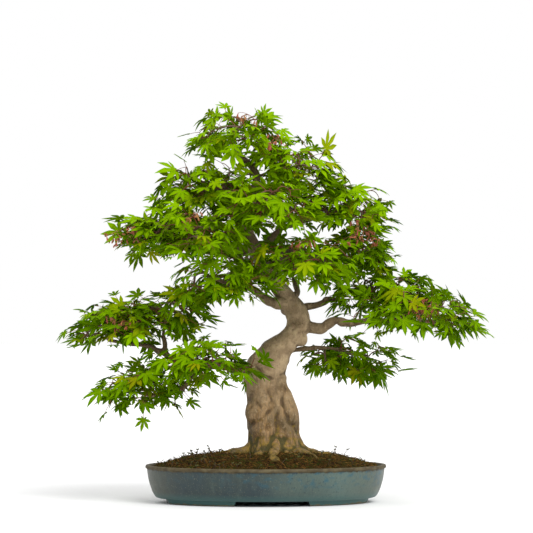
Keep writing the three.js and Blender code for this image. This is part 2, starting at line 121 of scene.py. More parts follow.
# The trunk's line from the root mass to its tip: [x, y, z, half width across X, half width across Y].
TRUNK = [
    [14, 0, 50, 50, 46], [14, 0, 84, 49, 45], [12, 0, 104, 43.5, 40], [10.5, 0, 126, 43, 39],
    [10, 0, 145, 43.5, 40], [6.5, 0, 165, 38.5, 36], [2.5, 0, 182, 34.5, 33], [-0.5, 0, 202, 35.5, 34],
    [1.5, -2, 220, 35, 34], [8.5, -4, 234, 30, 33], [18.5, -6, 249.5, 25, 28], [31, -6, 262.5, 20, 24],
    [42.5, -4, 274, 18.5, 21], [51, 0, 287, 18.8, 20], [53.5, 3, 300, 18.8, 19], [50, 5, 314, 18.5, 18],
    [42, 6, 328, 16.5, 16], [31, 6, 342, 15, 15], [20, 4, 357, 13.5, 14], [9, 2, 373, 12.5, 13],
    [-2, 0, 390, 12, 12], [-12, -2, 408, 12, 12], [-22, -4, 427, 11.5, 11.5], [-30, -2, 446, 10.5, 10.5],
    [-35, 2, 465, 9.5, 9.5], [-36, 6, 484, 9, 9], [-31, 8, 500, 8.5, 8.5], [-22, 8, 514, 8, 8],
    [-16, 6, 528, 7, 7], [-17, 3, 543, 6.5, 6.5], [-24, 0, 556, 6, 6], [-35, -2, 566, 5.5, 5.5],
    [-46, -2, 575, 4.5, 4.5], [-52, 0, 590, 3.6, 3.6], [-50, 2, 610, 2.5, 2.5],
]

# Old knots that swell the wood: [x, y, z, half width, half height].
KNOTS = [
    [57, -8, 269, 12, 12], [-8, -14, 234, 17, 14], [36, -8, 142, 17, 29], [-14, -16, 150, 21, 24],
    [66, 0, 291, 12, 11], [101, 33, 334, 7, 6], [112, -10, 301, 7, 6], [34, 12, 318, 10, 10],
    [-24, 4, 206, 12, 16], [14, 21, 168, 20, 26], [-16, 19, 130, 18, 24], [28, 20, 236, 12, 14],
]

# Old folds and scars on the side that faces -Y: [depth, width, points as x, z].
FOLDS = [
    [1.4, 4.4, [[34, 190], [28, 178], [27, 164]]],
    [3.2, 4.0, [[27, 168], [32, 149], [42, 133], [51, 118]]],
    [1.0, 4.8, [[2, 182], [8, 170], [8, 158], [2, 147]]],
    [2.6, 4.0, [[4, 150], [-12, 137], [-27, 126]]],
    [1.2, 3.4, [[-25, 158], [-15, 164], [-8, 156], [-13, 148]]],
    [2.6, 4.0, [[-15, 224], [-6, 211], [5, 203]]],
    [1.2, 4.2, [[4, 204], [18, 204], [30, 213]]],
    [1.4, 4.0, [[47, 301], [53, 304], [57, 299], [52, 295], [47, 299]]],
    [2.2, 3.2, [[46, 287], [44, 273], [48, 260], [60, 254]]],
    [1.0, 3.0, [[52, 281], [62, 284], [72, 281]]],
    [1.8, 5.0, [[11, 108], [8, 98], [4, 84]]],
    [1.8, 4.4, [[28, 106], [34, 97], [40, 84]]],
    [1.8, 4.4, [[-14, 108], [-19, 98], [-26, 86]]],
    [1.4, 3.0, [[20, 150], [17, 132], [20, 116]]],
    [1.2, 3.0, [[-24, 182], [-28, 170], [-24, 160]]],
    [1.0, 3.0, [[10, 236], [18, 226], [20, 214]]],
]

# Each main branch: radius where it leaves the wood, radius at its tip, and the points it follows.
BRANCHES = {
    "left_low": (12, 3, [[-14, -4, 214], [-45, -14, 222], [-70, -22, 227], [-98, -26, 229],
                         [-122, -24, 229], [-146, -16, 232], [-170, -8, 247], [-196, -2, 258],
                         [-228, 2, 262], [-262, 4, 268]]),
    "left_drop": (5.5, 2.4, [[-120, -24, 229], [-124, -28, 206], [-140, -30, 190], [-163, -28, 180],
                             [-190, -24, 177], [-213, -20, 183], [-238, -16, 190]]),
    "left_rise": (5, 2.4, [[-164, -10, 244], [-168, -10, 262], [-170, -14, 282], [-166, -18, 300]]),
    "left_front": (5, 2.4, [[-66, -22, 227], [-74, -46, 226], [-78, -72, 225], [-80, -92, 226]]),
    "right_low": (5.5, 2.4, [[22, 8, 246], [50, 24, 251], [72, 34, 254], [90, 42, 255],
                             [108, 50, 253], [125, 58, 248], [145, 66, 243], [170, 74, 240]]),
    "right_main": (10.5, 2.4, [[50, 0, 288], [72, -2, 289], [92, -6, 288], [104, -8, 296],
                               [114, -10, 300], [128, -12, 296], [150, -14, 297], [180, -18, 299],
                               [215, -22, 299], [248, -22, 298], [285, -18, 300]]),
    "right_upper": (7.5, 2.4, [[44, 6, 318], [62, 14, 322], [82, 24, 325], [98, 32, 332],
                               [106, 36, 337], [116, 40, 334], [121, 44, 343], [132, 50, 350],
                               [152, 54, 352], [180, 54, 353], [206, 48, 358]]),
    "middle_left": (11, 2.6, [[32, 2, 328], [8, -14, 332], [-10, -28, 345], [-28, -40, 356],
                              [-52, -52, 360], [-76, -62, 366], [-96, -68, 374]]),
    "upper_left": (8.5, 2.6, [[-18, 0, 424], [-42, 6, 414], [-66, 12, 411], [-90, 14, 413],
                              [-118, 12, 418], [-142, 8, 421], [-166, 4, 429], [-190, 2, 440]]),
    "front_left": (6.5, 2.4, [[-27, -2, 440], [-48, -14, 444], [-68, -32, 450], [-82, -54, 458],
                              [-90, -78, 466]]),
    "upper_right": (7, 2.4, [[-12, -2, 412], [4, -6, 430], [18, -4, 446], [36, 2, 457], [58, 8, 464],
                             [80, 12, 470], [110, 14, 478], [138, 12, 488]]),
    "lower_right": (6.5, 2.4, [[4, 2, 382], [24, 10, 398], [46, 20, 404], [72, 28, 407], [96, 34, 410],
                               [118, 38, 418], [140, 38, 424], [160, 34, 428]]),
    "front_low": (6, 2.4, [[0, -4, 390], [8, -36, 402], [26, -66, 412], [44, -88, 418]]),
    "crown_left": (5, 2.4, [[-32, 6, 498], [-48, 8, 510], [-68, 8, 518], [-92, 6, 524], [-116, 2, 536]]),
    "crown_right": (4.5, 2.4, [[-21, 8, 515], [0, 4, 510], [24, 0, 512], [44, -6, 522], [58, -10, 536],
                               [66, -12, 552]]),
    "crown_thin": (3.4, 2.4, [[-17, 4, 536], [2, 2, 546], [16, -4, 560]]),
    "crown_front": (5, 2.4, [[-34, 0, 468], [-26, -36, 482], [-14, -68, 496], [-6, -92, 510]]),
    "back_low": (7, 2.4, [[42, 8, 330], [52, 40, 346], [50, 80, 360], [42, 116, 376], [36, 138, 392]]),
    "back_upper": (6, 2.4, [[-31, 2, 450], [-30, 40, 468], [-24, 78, 484], [-16, 110, 502]]),
    "back_left": (5, 2.4, [[-26, 2, 436], [-60, 40, 442], [-92, 68, 452], [-116, 88, 464]]),
}

# Each canopy of leaves: [middle x, y, z, half width X, half width Y, height above the middle, lean
# towards +X in degrees], and the branches that its twigs grow from.
CANOPIES = {
    "apex": ([-48, 0, 602, 80, 80, 56, 0], ["trunk_tip"]),
    "crown_right": ([52, -6, 548, 80, 86, 53, 20], ["crown_right", "crown_thin"]),
    "crown_left": ([-106, 4, 518, 82, 86, 56, -12], ["crown_left"]),
    "crown_front": ([2, -90, 480, 96, 76, 62, 0], ["crown_front"]),
    "upper_right": ([126, 8, 482, 82, 98, 62, 14], ["upper_right"]),
    "upper_left": ([-174, 4, 442, 80, 92, 52, -6], ["upper_left"]),
    "front_left": ([-100, -86, 434, 84, 76, 54, -4], ["front_left"]),
    "front_low": ([70, -92, 392, 90, 76, 54, 6], ["front_low"]),
    "lower_right": ([156, 36, 410, 60, 92, 46, 10], ["lower_right"]),
    "middle_left": ([-62, -72, 358, 92, 86, 58, -2], ["middle_left"]),
    "right_upper": ([200, 50, 340, 88, 88, 48, 5], ["right_upper"]),
    "right_main": ([254, -20, 304, 122, 92, 55, 4], ["right_main"]),
    "right_low": ([142, 74, 228, 88, 74, 48, 6], ["right_low"]),
    "left_rise": ([-176, -16, 304, 84, 84, 56, -6], ["left_rise"]),
    "left_low": ([-246, 4, 286, 82, 88, 60, -2], ["left_low"]),
    "left_front": ([-92, -84, 228, 92, 68, 52, 0], ["left_front"]),
    "left_drop": ([-204, -20, 185, 88, 76, 51, -6], ["left_drop"]),
    "back_low": ([30, 136, 394, 114, 76, 56, 0], ["back_low"]),
    "back_upper": ([-16, 112, 494, 108, 80, 60, 0], ["back_upper"]),
    "back_left": ([-130, 90, 448, 90, 76, 54, -6], ["back_left"]),
}

# One leaf that hangs on a long thread under the lowest branch: its canopy, and its thread.
HANGING_LEAF_CANOPY = "left_drop"
HANGING_STALK = [[-198, -22, 172], [-201, -22, 154], [-202, -22, 138]]

# Where seed clusters hang: [x, y, z], and the canopies that they belong to.
SEED_CLUSTERS = [
    [-240, -24, 450], [-226, -34, 456], [-252, -6, 444], [-212, -40, 448], [150, -34, 462],
    [166, -24, 452], [140, -46, 440], [176, -10, 440], [262, -70, 330], [248, -74, 318], [274, -60, 322],
    [-30, -50, 640], [14, -62, 600], [-252, -50, 312], [-232, -56, 300], [60, -120, 430],
    [-118, -120, 470],
]
SEED_CANOPIES = ("upper_left", "upper_right", "right_main", "apex")


# ---- shared shape functions ----


def in_frame(points, turn=0.0):
    """Millimetres from the pot's middle to metres in the frame, after a turn about the pot's axis."""
    points = np.asarray(points, float)
    x, y, z = points[..., 0], points[..., 1], points[..., 2]
    turned = np.stack([x * np.cos(turn) - y * np.sin(turn), x * np.sin(turn) + y * np.cos(turn), z], -1)
    return turned * MM + POT_MIDDLE


def unit(vectors):
    """Each vector over its own length."""
    return vectors / np.maximum(np.linalg.norm(vectors, axis=-1, keepdims=True), 1e-12)


def soft_step(values, start, end):
    """0 before start and 1 after end, with a cubic between them that is level at both."""
    share = np.clip((values - start) / (end - start), 0, 1)
    return share * share * (3 - 2 * share)


def lattice_value(cell, seed):
    """A repeatable value from -1 to 1 for each whole-numbered cell, mixed from its three numbers."""
    x, y, z = (cell[..., k].astype(np.int64) for k in range(3))
    mixed = (x * 73856093) ^ (y * 19349663) ^ (z * 83492791) ^ (seed * 40503)
    mixed = (mixed ^ (mixed >> 13)) * 1274126177
    mixed = mixed ^ (mixed >> 16)
    return (mixed & 0xFFFF) / 32767.5 - 1


def smooth_noise(points, size, seed=0):
    """Values at the corners of a lattice of that cell size, blended by a cubic inside each cell."""
    scaled = np.asarray(points, float) / size
    cell = np.floor(scaled)
    share = scaled - cell
    share = share * share * (3 - 2 * share)
    total = np.zeros(scaled.shape[:-1])
    for corner in np.ndindex(2, 2, 2):
        weight = np.prod(np.where(np.array(corner), share, 1 - share), axis=-1)
        total += weight * lattice_value(cell + np.array(corner), seed)
    return total


def layered_noise(points, size, seed=0, layers=3):
    """Smooth noise with each next layer at half the size and half the strength."""
    return sum(smooth_noise(points, np.asarray(size) / 2**k, seed + k) / 2**k for k in range(layers))


def smooth_path(points, count):
    """count places at even steps along cubic pieces through the points, with each point's slope set by
    its neighbours. Columns after x, y, z, such as a radius, follow the same curve."""
    points = np.asarray(points, float)
    gaps = np.linalg.norm(np.diff(points[:, :3], axis=0), axis=1)
    knots = np.concatenate([[0], np.cumsum(gaps)])
    slopes = np.gradient(points, knots, axis=0)
    at = np.linspace(0, knots[-1], count)
    piece = np.clip(np.searchsorted(knots, at, side="right") - 1, 0, len(gaps) - 1)
    step = gaps[piece][:, None]
    t = (at - knots[piece])[:, None] / step
    start, end = points[piece], points[piece + 1]
    return (
        (2 * t**3 - 3 * t**2 + 1) * start + (t**3 - 2 * t**2 + t) * step * slopes[piece]
        + (3 * t**2 - 2 * t**3) * end + (t**3 - t**2) * step * slopes[piece + 1]
    )


def grid_quads(rows, columns):
    """Faces between the neighbouring points of a grid whose columns close on themselves."""
    row, column = np.meshgrid(np.arange(rows - 1), np.arange(columns), indexing="ij")
    beside = (column + 1) % columns
    corners = [row * columns + column, row * columns + beside, (row + 1) * columns + beside,
               (row + 1) * columns + column]
    return np.stack([corner.ravel() for corner in corners], axis=1)


def pole_caps(rows, columns):
    """Fans that close a grid's first and last rows to the two pole points which follow the grid's own."""
    column = np.arange(columns)
    beside = (column + 1) % columns
    last = (rows - 1) * columns
    return np.concatenate([
        np.stack([np.full(columns, rows * columns), beside, column], axis=1),
        np.stack([np.full(columns, rows * columns + 1), last + column, last + beside], axis=1),
    ])


def swept_tubes(paths, radii, sides, flatness=1.0):
    """Closed tubes along many paths at once, as (points, faces).

    Each place on a path carries a circle across it. The circle's first axis is the one before it
    with its part along the path removed, so the tube doesn't twist. A pole closes each end.
    paths is (tubes, rings, 3) and radii is (tubes, rings); flatness squeezes the second axis.
    """
    tubes, rings, _ = paths.shape
    along = unit(np.gradient(paths, axis=1))
    start = np.where(np.abs(along[:, 0, 2:]) > 0.8, [[1.0, 0, 0]], [[0, 0, 1.0]])
    across = np.empty_like(paths)
    for ring in range(rings):
        start = unit(start - along[:, ring] * np.sum(start * along[:, ring], axis=-1, keepdims=True))
        across[:, ring] = start
    other = np.cross(along, across) * flatness
    angle = 2 * np.pi * np.arange(sides) / sides
    circle = (across[:, :, None] * np.cos(angle)[:, None] + other[:, :, None] * np.sin(angle)[:, None])
    body = paths[:, :, None] + circle * radii[:, :, None, None]
    foot = paths[:, :1] - along[:, :1] * radii[:, :1, None] * 0.3
    tip = paths[:, -1:] + along[:, -1:] * radii[:, -1:, None] * 0.7
    points = np.concatenate([body.reshape(tubes, -1, 3), foot, tip], axis=1)
    first = np.arange(tubes)[:, None, None] * (rings * sides + 2)
    quads = (grid_quads(rings, sides)[None] + first).reshape(-1, 4)
    return points.reshape(-1, 3), [quads, (pole_caps(rings, sides)[None] + first).reshape(-1, 3)]


def joined(parts):
    """Several (points, faces) as one."""
    points, faces, first = [], {}, 0
    for part_points, part_faces in parts:
        points.append(part_points)
        for group in part_faces:
            faces.setdefault(group.shape[1], []).append(group + first)
        first += len(part_points)
    return np.concatenate(points), [np.concatenate(group) for group in faces.values()]


def fill_mesh(mesh, points, faces, smooth=True):
    """Writes points and faces into a mesh straight from whole arrays."""
    loops = np.concatenate([group.ravel() for group in faces]).astype(np.int32)
    sizes = np.concatenate([np.full(len(group), group.shape[1]) for group in faces])
    starts = np.concatenate([[0], np.cumsum(sizes)[:-1]]).astype(np.int32)
    mesh.vertices.add(len(points))
    mesh.vertices.foreach_set("co", np.asarray(points, np.float32).ravel())
    mesh.loops.add(len(loops))
    mesh.loops.foreach_set("vertex_index", loops)
    mesh.polygons.add(len(sizes))
    mesh.polygons.foreach_set("loop_start", starts)
    mesh.update(calc_edges=True)
    mesh.validate()
    mesh.polygons.foreach_set("use_smooth", np.full(len(mesh.polygons), smooth))


def set_values(mesh, name, values):
    """Stores four numbers for each point as a colour that a material can read."""
    layer = mesh.attributes.new(name, "FLOAT_COLOR", "POINT")
    layer.data.foreach_set("color", np.asarray(values, np.float32).ravel())


def in_scene(name, data):
    """A new object with that data, linked to the scene."""
    made = bpy.data.objects.new(name, data)
    bpy.context.scene.collection.objects.link(made)
    return made


def new_piece(name, points, faces, material, nodes, smooth=True, values=None):
    """A finished piece at the origin that rides the root body and stands for those CAD nodes."""
    mesh = bpy.data.meshes.new(name)
    fill_mesh(mesh, points, faces, smooth)
    if values is not None:
        set_values(mesh, "tone", values)
    mesh.materials.append(material)
    piece = in_scene(name, mesh)
    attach(piece, "root")
    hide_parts(*nodes)
    return piece


def settled_mesh(name, source):
    """The source object's mesh with its modifiers applied, and the source removed."""
    graph = bpy.context.evaluated_depsgraph_get()
    mesh = bpy.data.meshes.new_from_object(source.evaluated_get(graph))
    mesh.name = name
    bpy.data.objects.remove(source)
    return mesh


def mesh_arrays(mesh):
    """The places and normals of a mesh's points."""
    points = np.empty(len(mesh.vertices) * 3, np.float32)
    normals = np.empty(len(mesh.vertices) * 3, np.float32)
    mesh.vertices.foreach_get("co", points)
    mesh.vertex_normals.foreach_get("vector", normals)
    return points.reshape(-1, 3).astype(float), normals.reshape(-1, 3).astype(float)


# ---- shared material functions ----


def node_group(name, inputs, outputs):
    """An empty shader node group with named inputs and outputs, as (group, its input, its output)."""
    group = bpy.data.node_groups.new(name, "ShaderNodeTree")
    for label, kind, value in inputs:
        socket = group.interface.new_socket(label, in_out="INPUT", socket_type=kind)
        if value is not None:
            socket.default_value = value
    for label, kind in outputs:
        group.interface.new_socket(label, in_out="OUTPUT", socket_type=kind)
    return group, group.nodes.new("NodeGroupInput"), group.nodes.new("NodeGroupOutput")


def mottle_group():
    """Patches of a second colour over a first: noise, raised to a clear edge between two levels."""
    group, entry, leave = node_group(
        "mottle",
        [("Vector", "NodeSocketVector", None), ("Base", "NodeSocketColor", (0.5, 0.5, 0.5, 1)),
         ("Patch", "NodeSocketColor", (0.2, 0.2, 0.2, 1)), ("Scale", "NodeSocketFloat", 20.0),
         ("Detail", "NodeSocketFloat", 4.0), ("Low", "NodeSocketFloat", 0.4),
         ("High", "NodeSocketFloat", 0.6), ("Amount", "NodeSocketFloat", 1.0)],
        [("Color", "NodeSocketColor"), ("Mask", "NodeSocketFloat")],
    )
    nodes, links = group.nodes, group.links
    noise = nodes.new("ShaderNodeTexNoise")
    spread = nodes.new("ShaderNodeMapRange")
    mask = nodes.new("ShaderNodeMath")
    mask.operation = "MULTIPLY"
    mix = nodes.new("ShaderNodeMix")
    mix.data_type = "RGBA"
    links.new(entry.outputs["Vector"], noise.inputs["Vector"])
    links.new(entry.outputs["Scale"], noise.inputs["Scale"])
    links.new(entry.outputs["Detail"], noise.inputs["Detail"])
    links.new(noise.outputs["Fac"], spread.inputs["Value"])
    links.new(entry.outputs["Low"], spread.inputs["From Min"])
    links.new(entry.outputs["High"], spread.inputs["From Max"])
    links.new(spread.outputs["Result"], mask.inputs[0])
    links.new(entry.outputs["Amount"], mask.inputs[1])
    links.new(mask.outputs[0], mix.inputs["Factor"])
    links.new(entry.outputs["Base"], mix.inputs["A"])
    links.new(entry.outputs["Patch"], mix.inputs["B"])
    links.new(mix.outputs["Result"], leave.inputs["Color"])
    links.new(mask.outputs[0], leave.inputs["Mask"])
    return group


def relief_group():
    """Fine unevenness: two sizes of noise, added and pressed into the normal."""
    group, entry, leave = node_group(
        "relief",
        [("Vector", "NodeSocketVector", None), ("Scale", "NodeSocketFloat", 200.0),
         ("Strength", "NodeSocketFloat", 0.3), ("Distance", "NodeSocketFloat", 0.001)],
        [("Normal", "NodeSocketVector")],
    )
    nodes, links = group.nodes, group.links
    noise = nodes.new("ShaderNodeTexNoise")
    noise.inputs["Detail"].default_value = 5
    noise.inputs["Roughness"].default_value = 0.6
    bump = nodes.new("ShaderNodeBump")
    links.new(entry.outputs["Vector"], noise.inputs["Vector"])
    links.new(entry.outputs["Scale"], noise.inputs["Scale"])
    links.new(noise.outputs["Fac"], bump.inputs["Height"])
    links.new(entry.outputs["Strength"], bump.inputs["Strength"])
    links.new(entry.outputs["Distance"], bump.inputs["Distance"])
    links.new(bump.outputs["Normal"], leave.inputs["Normal"])
    return group


class Finish:
    """One material under construction: its node tree and short ways to add and link nodes."""

    def __init__(self, name, roughness, metallic=0.0):
        self.material = bpy.data.materials.new(name)
        self.material.use_nodes = True
        self.nodes = self.material.node_tree.nodes
        self.links = self.material.node_tree.links
        self.shader = self.nodes["Principled BSDF"]
        self.shader.inputs["Roughness"].default_value = roughness
        self.shader.inputs["Metallic"].default_value = metallic
        self.place = self.nodes.new("ShaderNodeTexCoord").outputs["Object"]

    def set(self, socket, source):
        """Links an output to one of the shader's inputs."""
        self.links.new(source, self.shader.inputs[socket])

    def add(self, kind, values=None, **settings):
        """A node with its settings, and its inputs set to numbers, colours or other nodes' outputs."""
        node = self.nodes.new(kind)
        for name, value in settings.items():
            setattr(node, name, value)
        for name, value in (values or {}).items():
            if isinstance(value, bpy.types.NodeSocket):
                self.links.new(value, node.inputs[name])
            else:
                node.inputs[name].default_value = value
        return node

    def group(self, tree, values):
        """A copy of a shared node group with its own values."""
        return self.add("ShaderNodeGroup", values, node_tree=tree)

    def reckoned(self, operation, *values):
        """What a math node makes of those values."""
        return self.add("ShaderNodeMath", dict(enumerate(values)), operation=operation).outputs[0]

    def noise(self, scale, detail, vector=None):
        """The outputs of a noise texture."""
        return self.add("ShaderNodeTexNoise", {
            "Vector": vector or self.place, "Scale": scale, "Detail": detail,
        }).outputs

    def pushed(self, push, amount):
        """Object coordinates moved about by a colour, by that share of it."""
        return self.add("ShaderNodeVectorMath", {0: push, 1: (amount, amount, amount), 2: self.place},
                        operation="MULTIPLY_ADD").outputs[0]

    def mottled(self, base, patch, scale, low, high, amount=1.0, detail=4.0, vector=None):
        """The colour that the mottle group gives."""
        tree = bpy.data.node_groups.get("mottle") or mottle_group()
        return self.group(tree, {
            "Vector": vector or self.place, "Base": base, "Patch": patch, "Scale": scale,
            "Detail": detail, "Low": low, "High": high, "Amount": amount,
        })

    def mixed(self, factor, base, patch):
        """Two colours mixed by a factor."""
        node = self.add("ShaderNodeMix", {"Factor": factor, "A": base, "B": patch}, data_type="RGBA")
        return node.outputs["Result"]

    def relief(self, scale, strength, distance=0.001, vector=None):
        """Feeds the relief group's normal to the shader."""
        tree = bpy.data.node_groups.get("relief") or relief_group()
        node = self.group(tree, {
            "Vector": vector or self.place, "Scale": scale, "Strength": strength, "Distance": distance,
        })
        self.set("Normal", node.outputs["Normal"])

    def stretched(self, scale, vector=None, start=(0, 0, 0)):
        """Coordinates scaled by a different number along each axis, then moved to another start."""
        node = self.add("ShaderNodeMapping", {
            "Vector": vector or self.place, "Location": start, "Scale": scale,
        })
        return node.outputs["Vector"]

    def between(self, value, low, high, out_low=0.0, out_high=1.0):
        """A value spread from one range to another, held at its ends."""
        node = self.add("ShaderNodeMapRange", {
            "Value": value, "From Min": low, "From Max": high, "To Min": out_low, "To Max": out_high,
        })
        return node.outputs["Result"]

    def tone(self):
        """The piece's own tone values, as separate outputs."""
        layer = self.add("ShaderNodeAttribute", attribute_name="tone")
        return self.add("ShaderNodeSeparateColor", {"Color": layer.outputs["Color"]}).outputs


def rgba(colour):
    """A colour property as four numbers."""
    return (*colour[:3], 1.0)


# ---- pot ----


def rounded(corners, radius, steps=5):
    """A polyline whose inner corners are rounded: each becomes the quadratic curve between the places
    a radius before and after it, pulled towards the corner."""
    corners = np.asarray(corners, float)
    before, corner, after = corners[:-2], corners[1:-1], corners[2:]
    back, on = before - corner, after - corner
    reach_back = np.minimum(radius, 0.45 * np.linalg.norm(back, axis=1, keepdims=True))
    reach_on = np.minimum(radius, 0.45 * np.linalg.norm(on, axis=1, keepdims=True))
    start, end = corner + unit(back) * reach_back, corner + unit(on) * reach_on
    t = np.linspace(0, 1, steps)[None, :, None]
    curve = (1 - t) ** 2 * start[:, None] + 2 * (1 - t) * t * corner[:, None] + t**2 * end[:, None]
    return np.concatenate([corners[:1], curve.reshape(-1, corners.shape[1]), corners[-1:]])


def cubic(corners, steps):
    """The cubic curve with those four control points."""
    p0, p1, p2, p3 = np.asarray(corners, float)
    t = np.linspace(0, 1, steps)[:, None]
    return (1 - t) ** 3 * p0 + 3 * (1 - t) ** 2 * t * p1 + 3 * (1 - t) * t**2 * p2 + t**3 * p3


def pot_section():
    """The pot's section as rows of [inset from the rim's outline, height], from the inside of the foot
    ring, down round the foot, up the belly, over the lip and down the inside to the floor."""
    lip_bottom = POT_HEIGHT - LIP_HEIGHT
    foot = rounded([
        [FOOT_INSIDE + 8, FLOOR_BOTTOM], [FOOT_INSIDE, FLOOR_BOTTOM], [FOOT_INSIDE, 4], [FOOT_INSIDE, 0],
        [(FOOT_INSIDE + FOOT_INSET) / 2, 0], [FOOT_INSET + FOOT_TAPER, 0],
        [FOOT_INSET + FOOT_TAPER / 2, FLOOR_BOTTOM / 2], [FOOT_INSET, FLOOR_BOTTOM],
        [FOOT_INSET - 3.6, FLOOR_BOTTOM],
    ], 1.6)
    belly = cubic([
        [FOOT_INSET - 4.4, FLOOR_BOTTOM + 0.2], [LIP_OVERHANG + 11.6, FLOOR_BOTTOM + 0.6],
        [LIP_OVERHANG + 2.1, lip_bottom - 24], [LIP_OVERHANG + 0.4, lip_bottom - 0.6],
    ], 30)
    lip = rounded([
        [LIP_OVERHANG + 0.2, lip_bottom], [0.5, lip_bottom + 0.6], [0, POT_HEIGHT - 3], [1.2, POT_HEIGHT],
        [4.5, POT_HEIGHT], [WALL + 0.2, POT_HEIGHT - 0.6], [WALL + 1.6, POT_HEIGHT - 3],
    ], 1.7, 6)
    inside = rounded([
        [WALL + 2, POT_HEIGHT - 5], [WALL + 7, FLOOR_TOP + 16], [WALL + 13, FLOOR_TOP + 5],
        [FOOT_INSET + 4, FLOOR_TOP], [FOOT_INSET + 22, FLOOR_TOP],
    ], 7)
    return np.concatenate([foot, belly, lip, inside])


def gap_roof(x, y):
    """How high the foot is cut away at a place: to the bowl's underside inside a foot gap, down along the
    gap's slanted ends, and not at all between the gaps."""
    side = np.where(np.abs(y) > np.abs(x) * 0.5, SIDE_GAP / 2 - np.abs(x), -99)
    end = np.where(np.abs(x) > np.abs(y), END_GAP / 2 - np.abs(y), -99)
    inwards = np.maximum(side, end)
    return np.clip((inwards + 2) * 9 / 4 - 1, -1, FLOOR_BOTTOM - 0.15)


def pot_surface():
    """The pot as a section carried round an oval: every section point runs round an ellipse that is
    inset evenly from the rim's outline. The foot gaps lift the foot's points to the gap's roof, and a
    thrower's slight unevenness moves the wall in and out."""
    section = pot_section()
    angles = [np.linspace(0, 2 * np.pi, 256, endpoint=False)]
    side, end = SIDE_GAP / 2, END_GAP / 2
    for low, high in (
        (math.acos((side + 3) / (HALF_LENGTH - FOOT_INSIDE)),
         math.acos((side - 3) / (HALF_LENGTH - FOOT_INSET))),
        (math.asin((end - 3) / (HALF_WIDTH - FOOT_INSET)),
         math.asin((end + 3) / (HALF_WIDTH - FOOT_INSIDE))),
    ):
        near = np.linspace(low, high, 28)
        angles += [near, np.pi - near, np.pi + near, 2 * np.pi - near]
    angle = np.unique(np.round(np.concatenate(angles), 5))
    inset, height = section[:, 0:1], section[:, 1:2]
    x = (HALF_LENGTH - inset) * np.cos(angle)
    y = (HALF_WIDTH - inset) * np.sin(angle)
    z = height + 0 * x
    foot = (inset > FOOT_INSET - 1) & (height < FLOOR_BOTTOM - 0.01)
    z = np.where(foot, np.maximum(z, gap_roof(x, y)), z)
    places = np.stack([x, y, z], axis=-1)
    wall = soft_step(z, 12, 30) * (1 - soft_step(z, 50, 56)) * (inset < 30)
    out = np.stack([np.cos(angle), np.sin(angle), 0 * angle], axis=-1)
    sway = 0.32 * smooth_noise(places, [60, 60, 22], 3) + 0.1 * smooth_noise(places, [200, 200, 5], 4)
    places = places + out[None] * (wall * sway)[..., None]
    rows, columns = x.shape
    middle = np.array([[0, 0, FLOOR_BOTTOM], [0, 0, FLOOR_TOP]], float)
    points = np.concatenate([places.reshape(-1, 3), middle])
    return points, [grid_quads(rows, columns), pole_caps(rows, columns)]


def make_pot(settings):
    """The pot with its drain holes and wire holes cut through the floor."""
    points, faces = pot_surface()
    shape = new_piece("pot_glazed", in_frame(points), faces, glaze_finish(settings), ["pot"])
    holes = [(x, 0, DRAIN_RADIUS) for x in (-DRAIN_SPACING / 2, DRAIN_SPACING / 2)]
    holes += [(0, y, WIRE_HOLE_RADIUS) for y in (-WIRE_HOLE_SPACING / 2, WIRE_HOLE_SPACING / 2)]
    cutters = []
    for x, y, radius in holes:
        path = np.array([[[x, y, FLOOR_BOTTOM - 3], [x, y, 12], [x, y, FLOOR_TOP + 3]]], float)
        tube = swept_tubes(path, np.full((1, 3), float(radius)), 40)
        mesh = bpy.data.meshes.new("hole")
        fill_mesh(mesh, in_frame(tube[0]), tube[1], False)
        cutter = in_scene("hole", mesh)
        modifier = shape.modifiers.new("hole", "BOOLEAN")
        modifier.operation = "DIFFERENCE"
        modifier.solver = "EXACT"
        modifier.object = cutter
        cutters.append(cutter)
    graph = bpy.context.evaluated_depsgraph_get()
    cut = bpy.data.meshes.new_from_object(shape.evaluated_get(graph))
    cut.name = "pot_glazed_cut"
    shape.modifiers.clear()
    shape.data = cut
    for cutter in cutters:
        bpy.data.objects.remove(cutter)


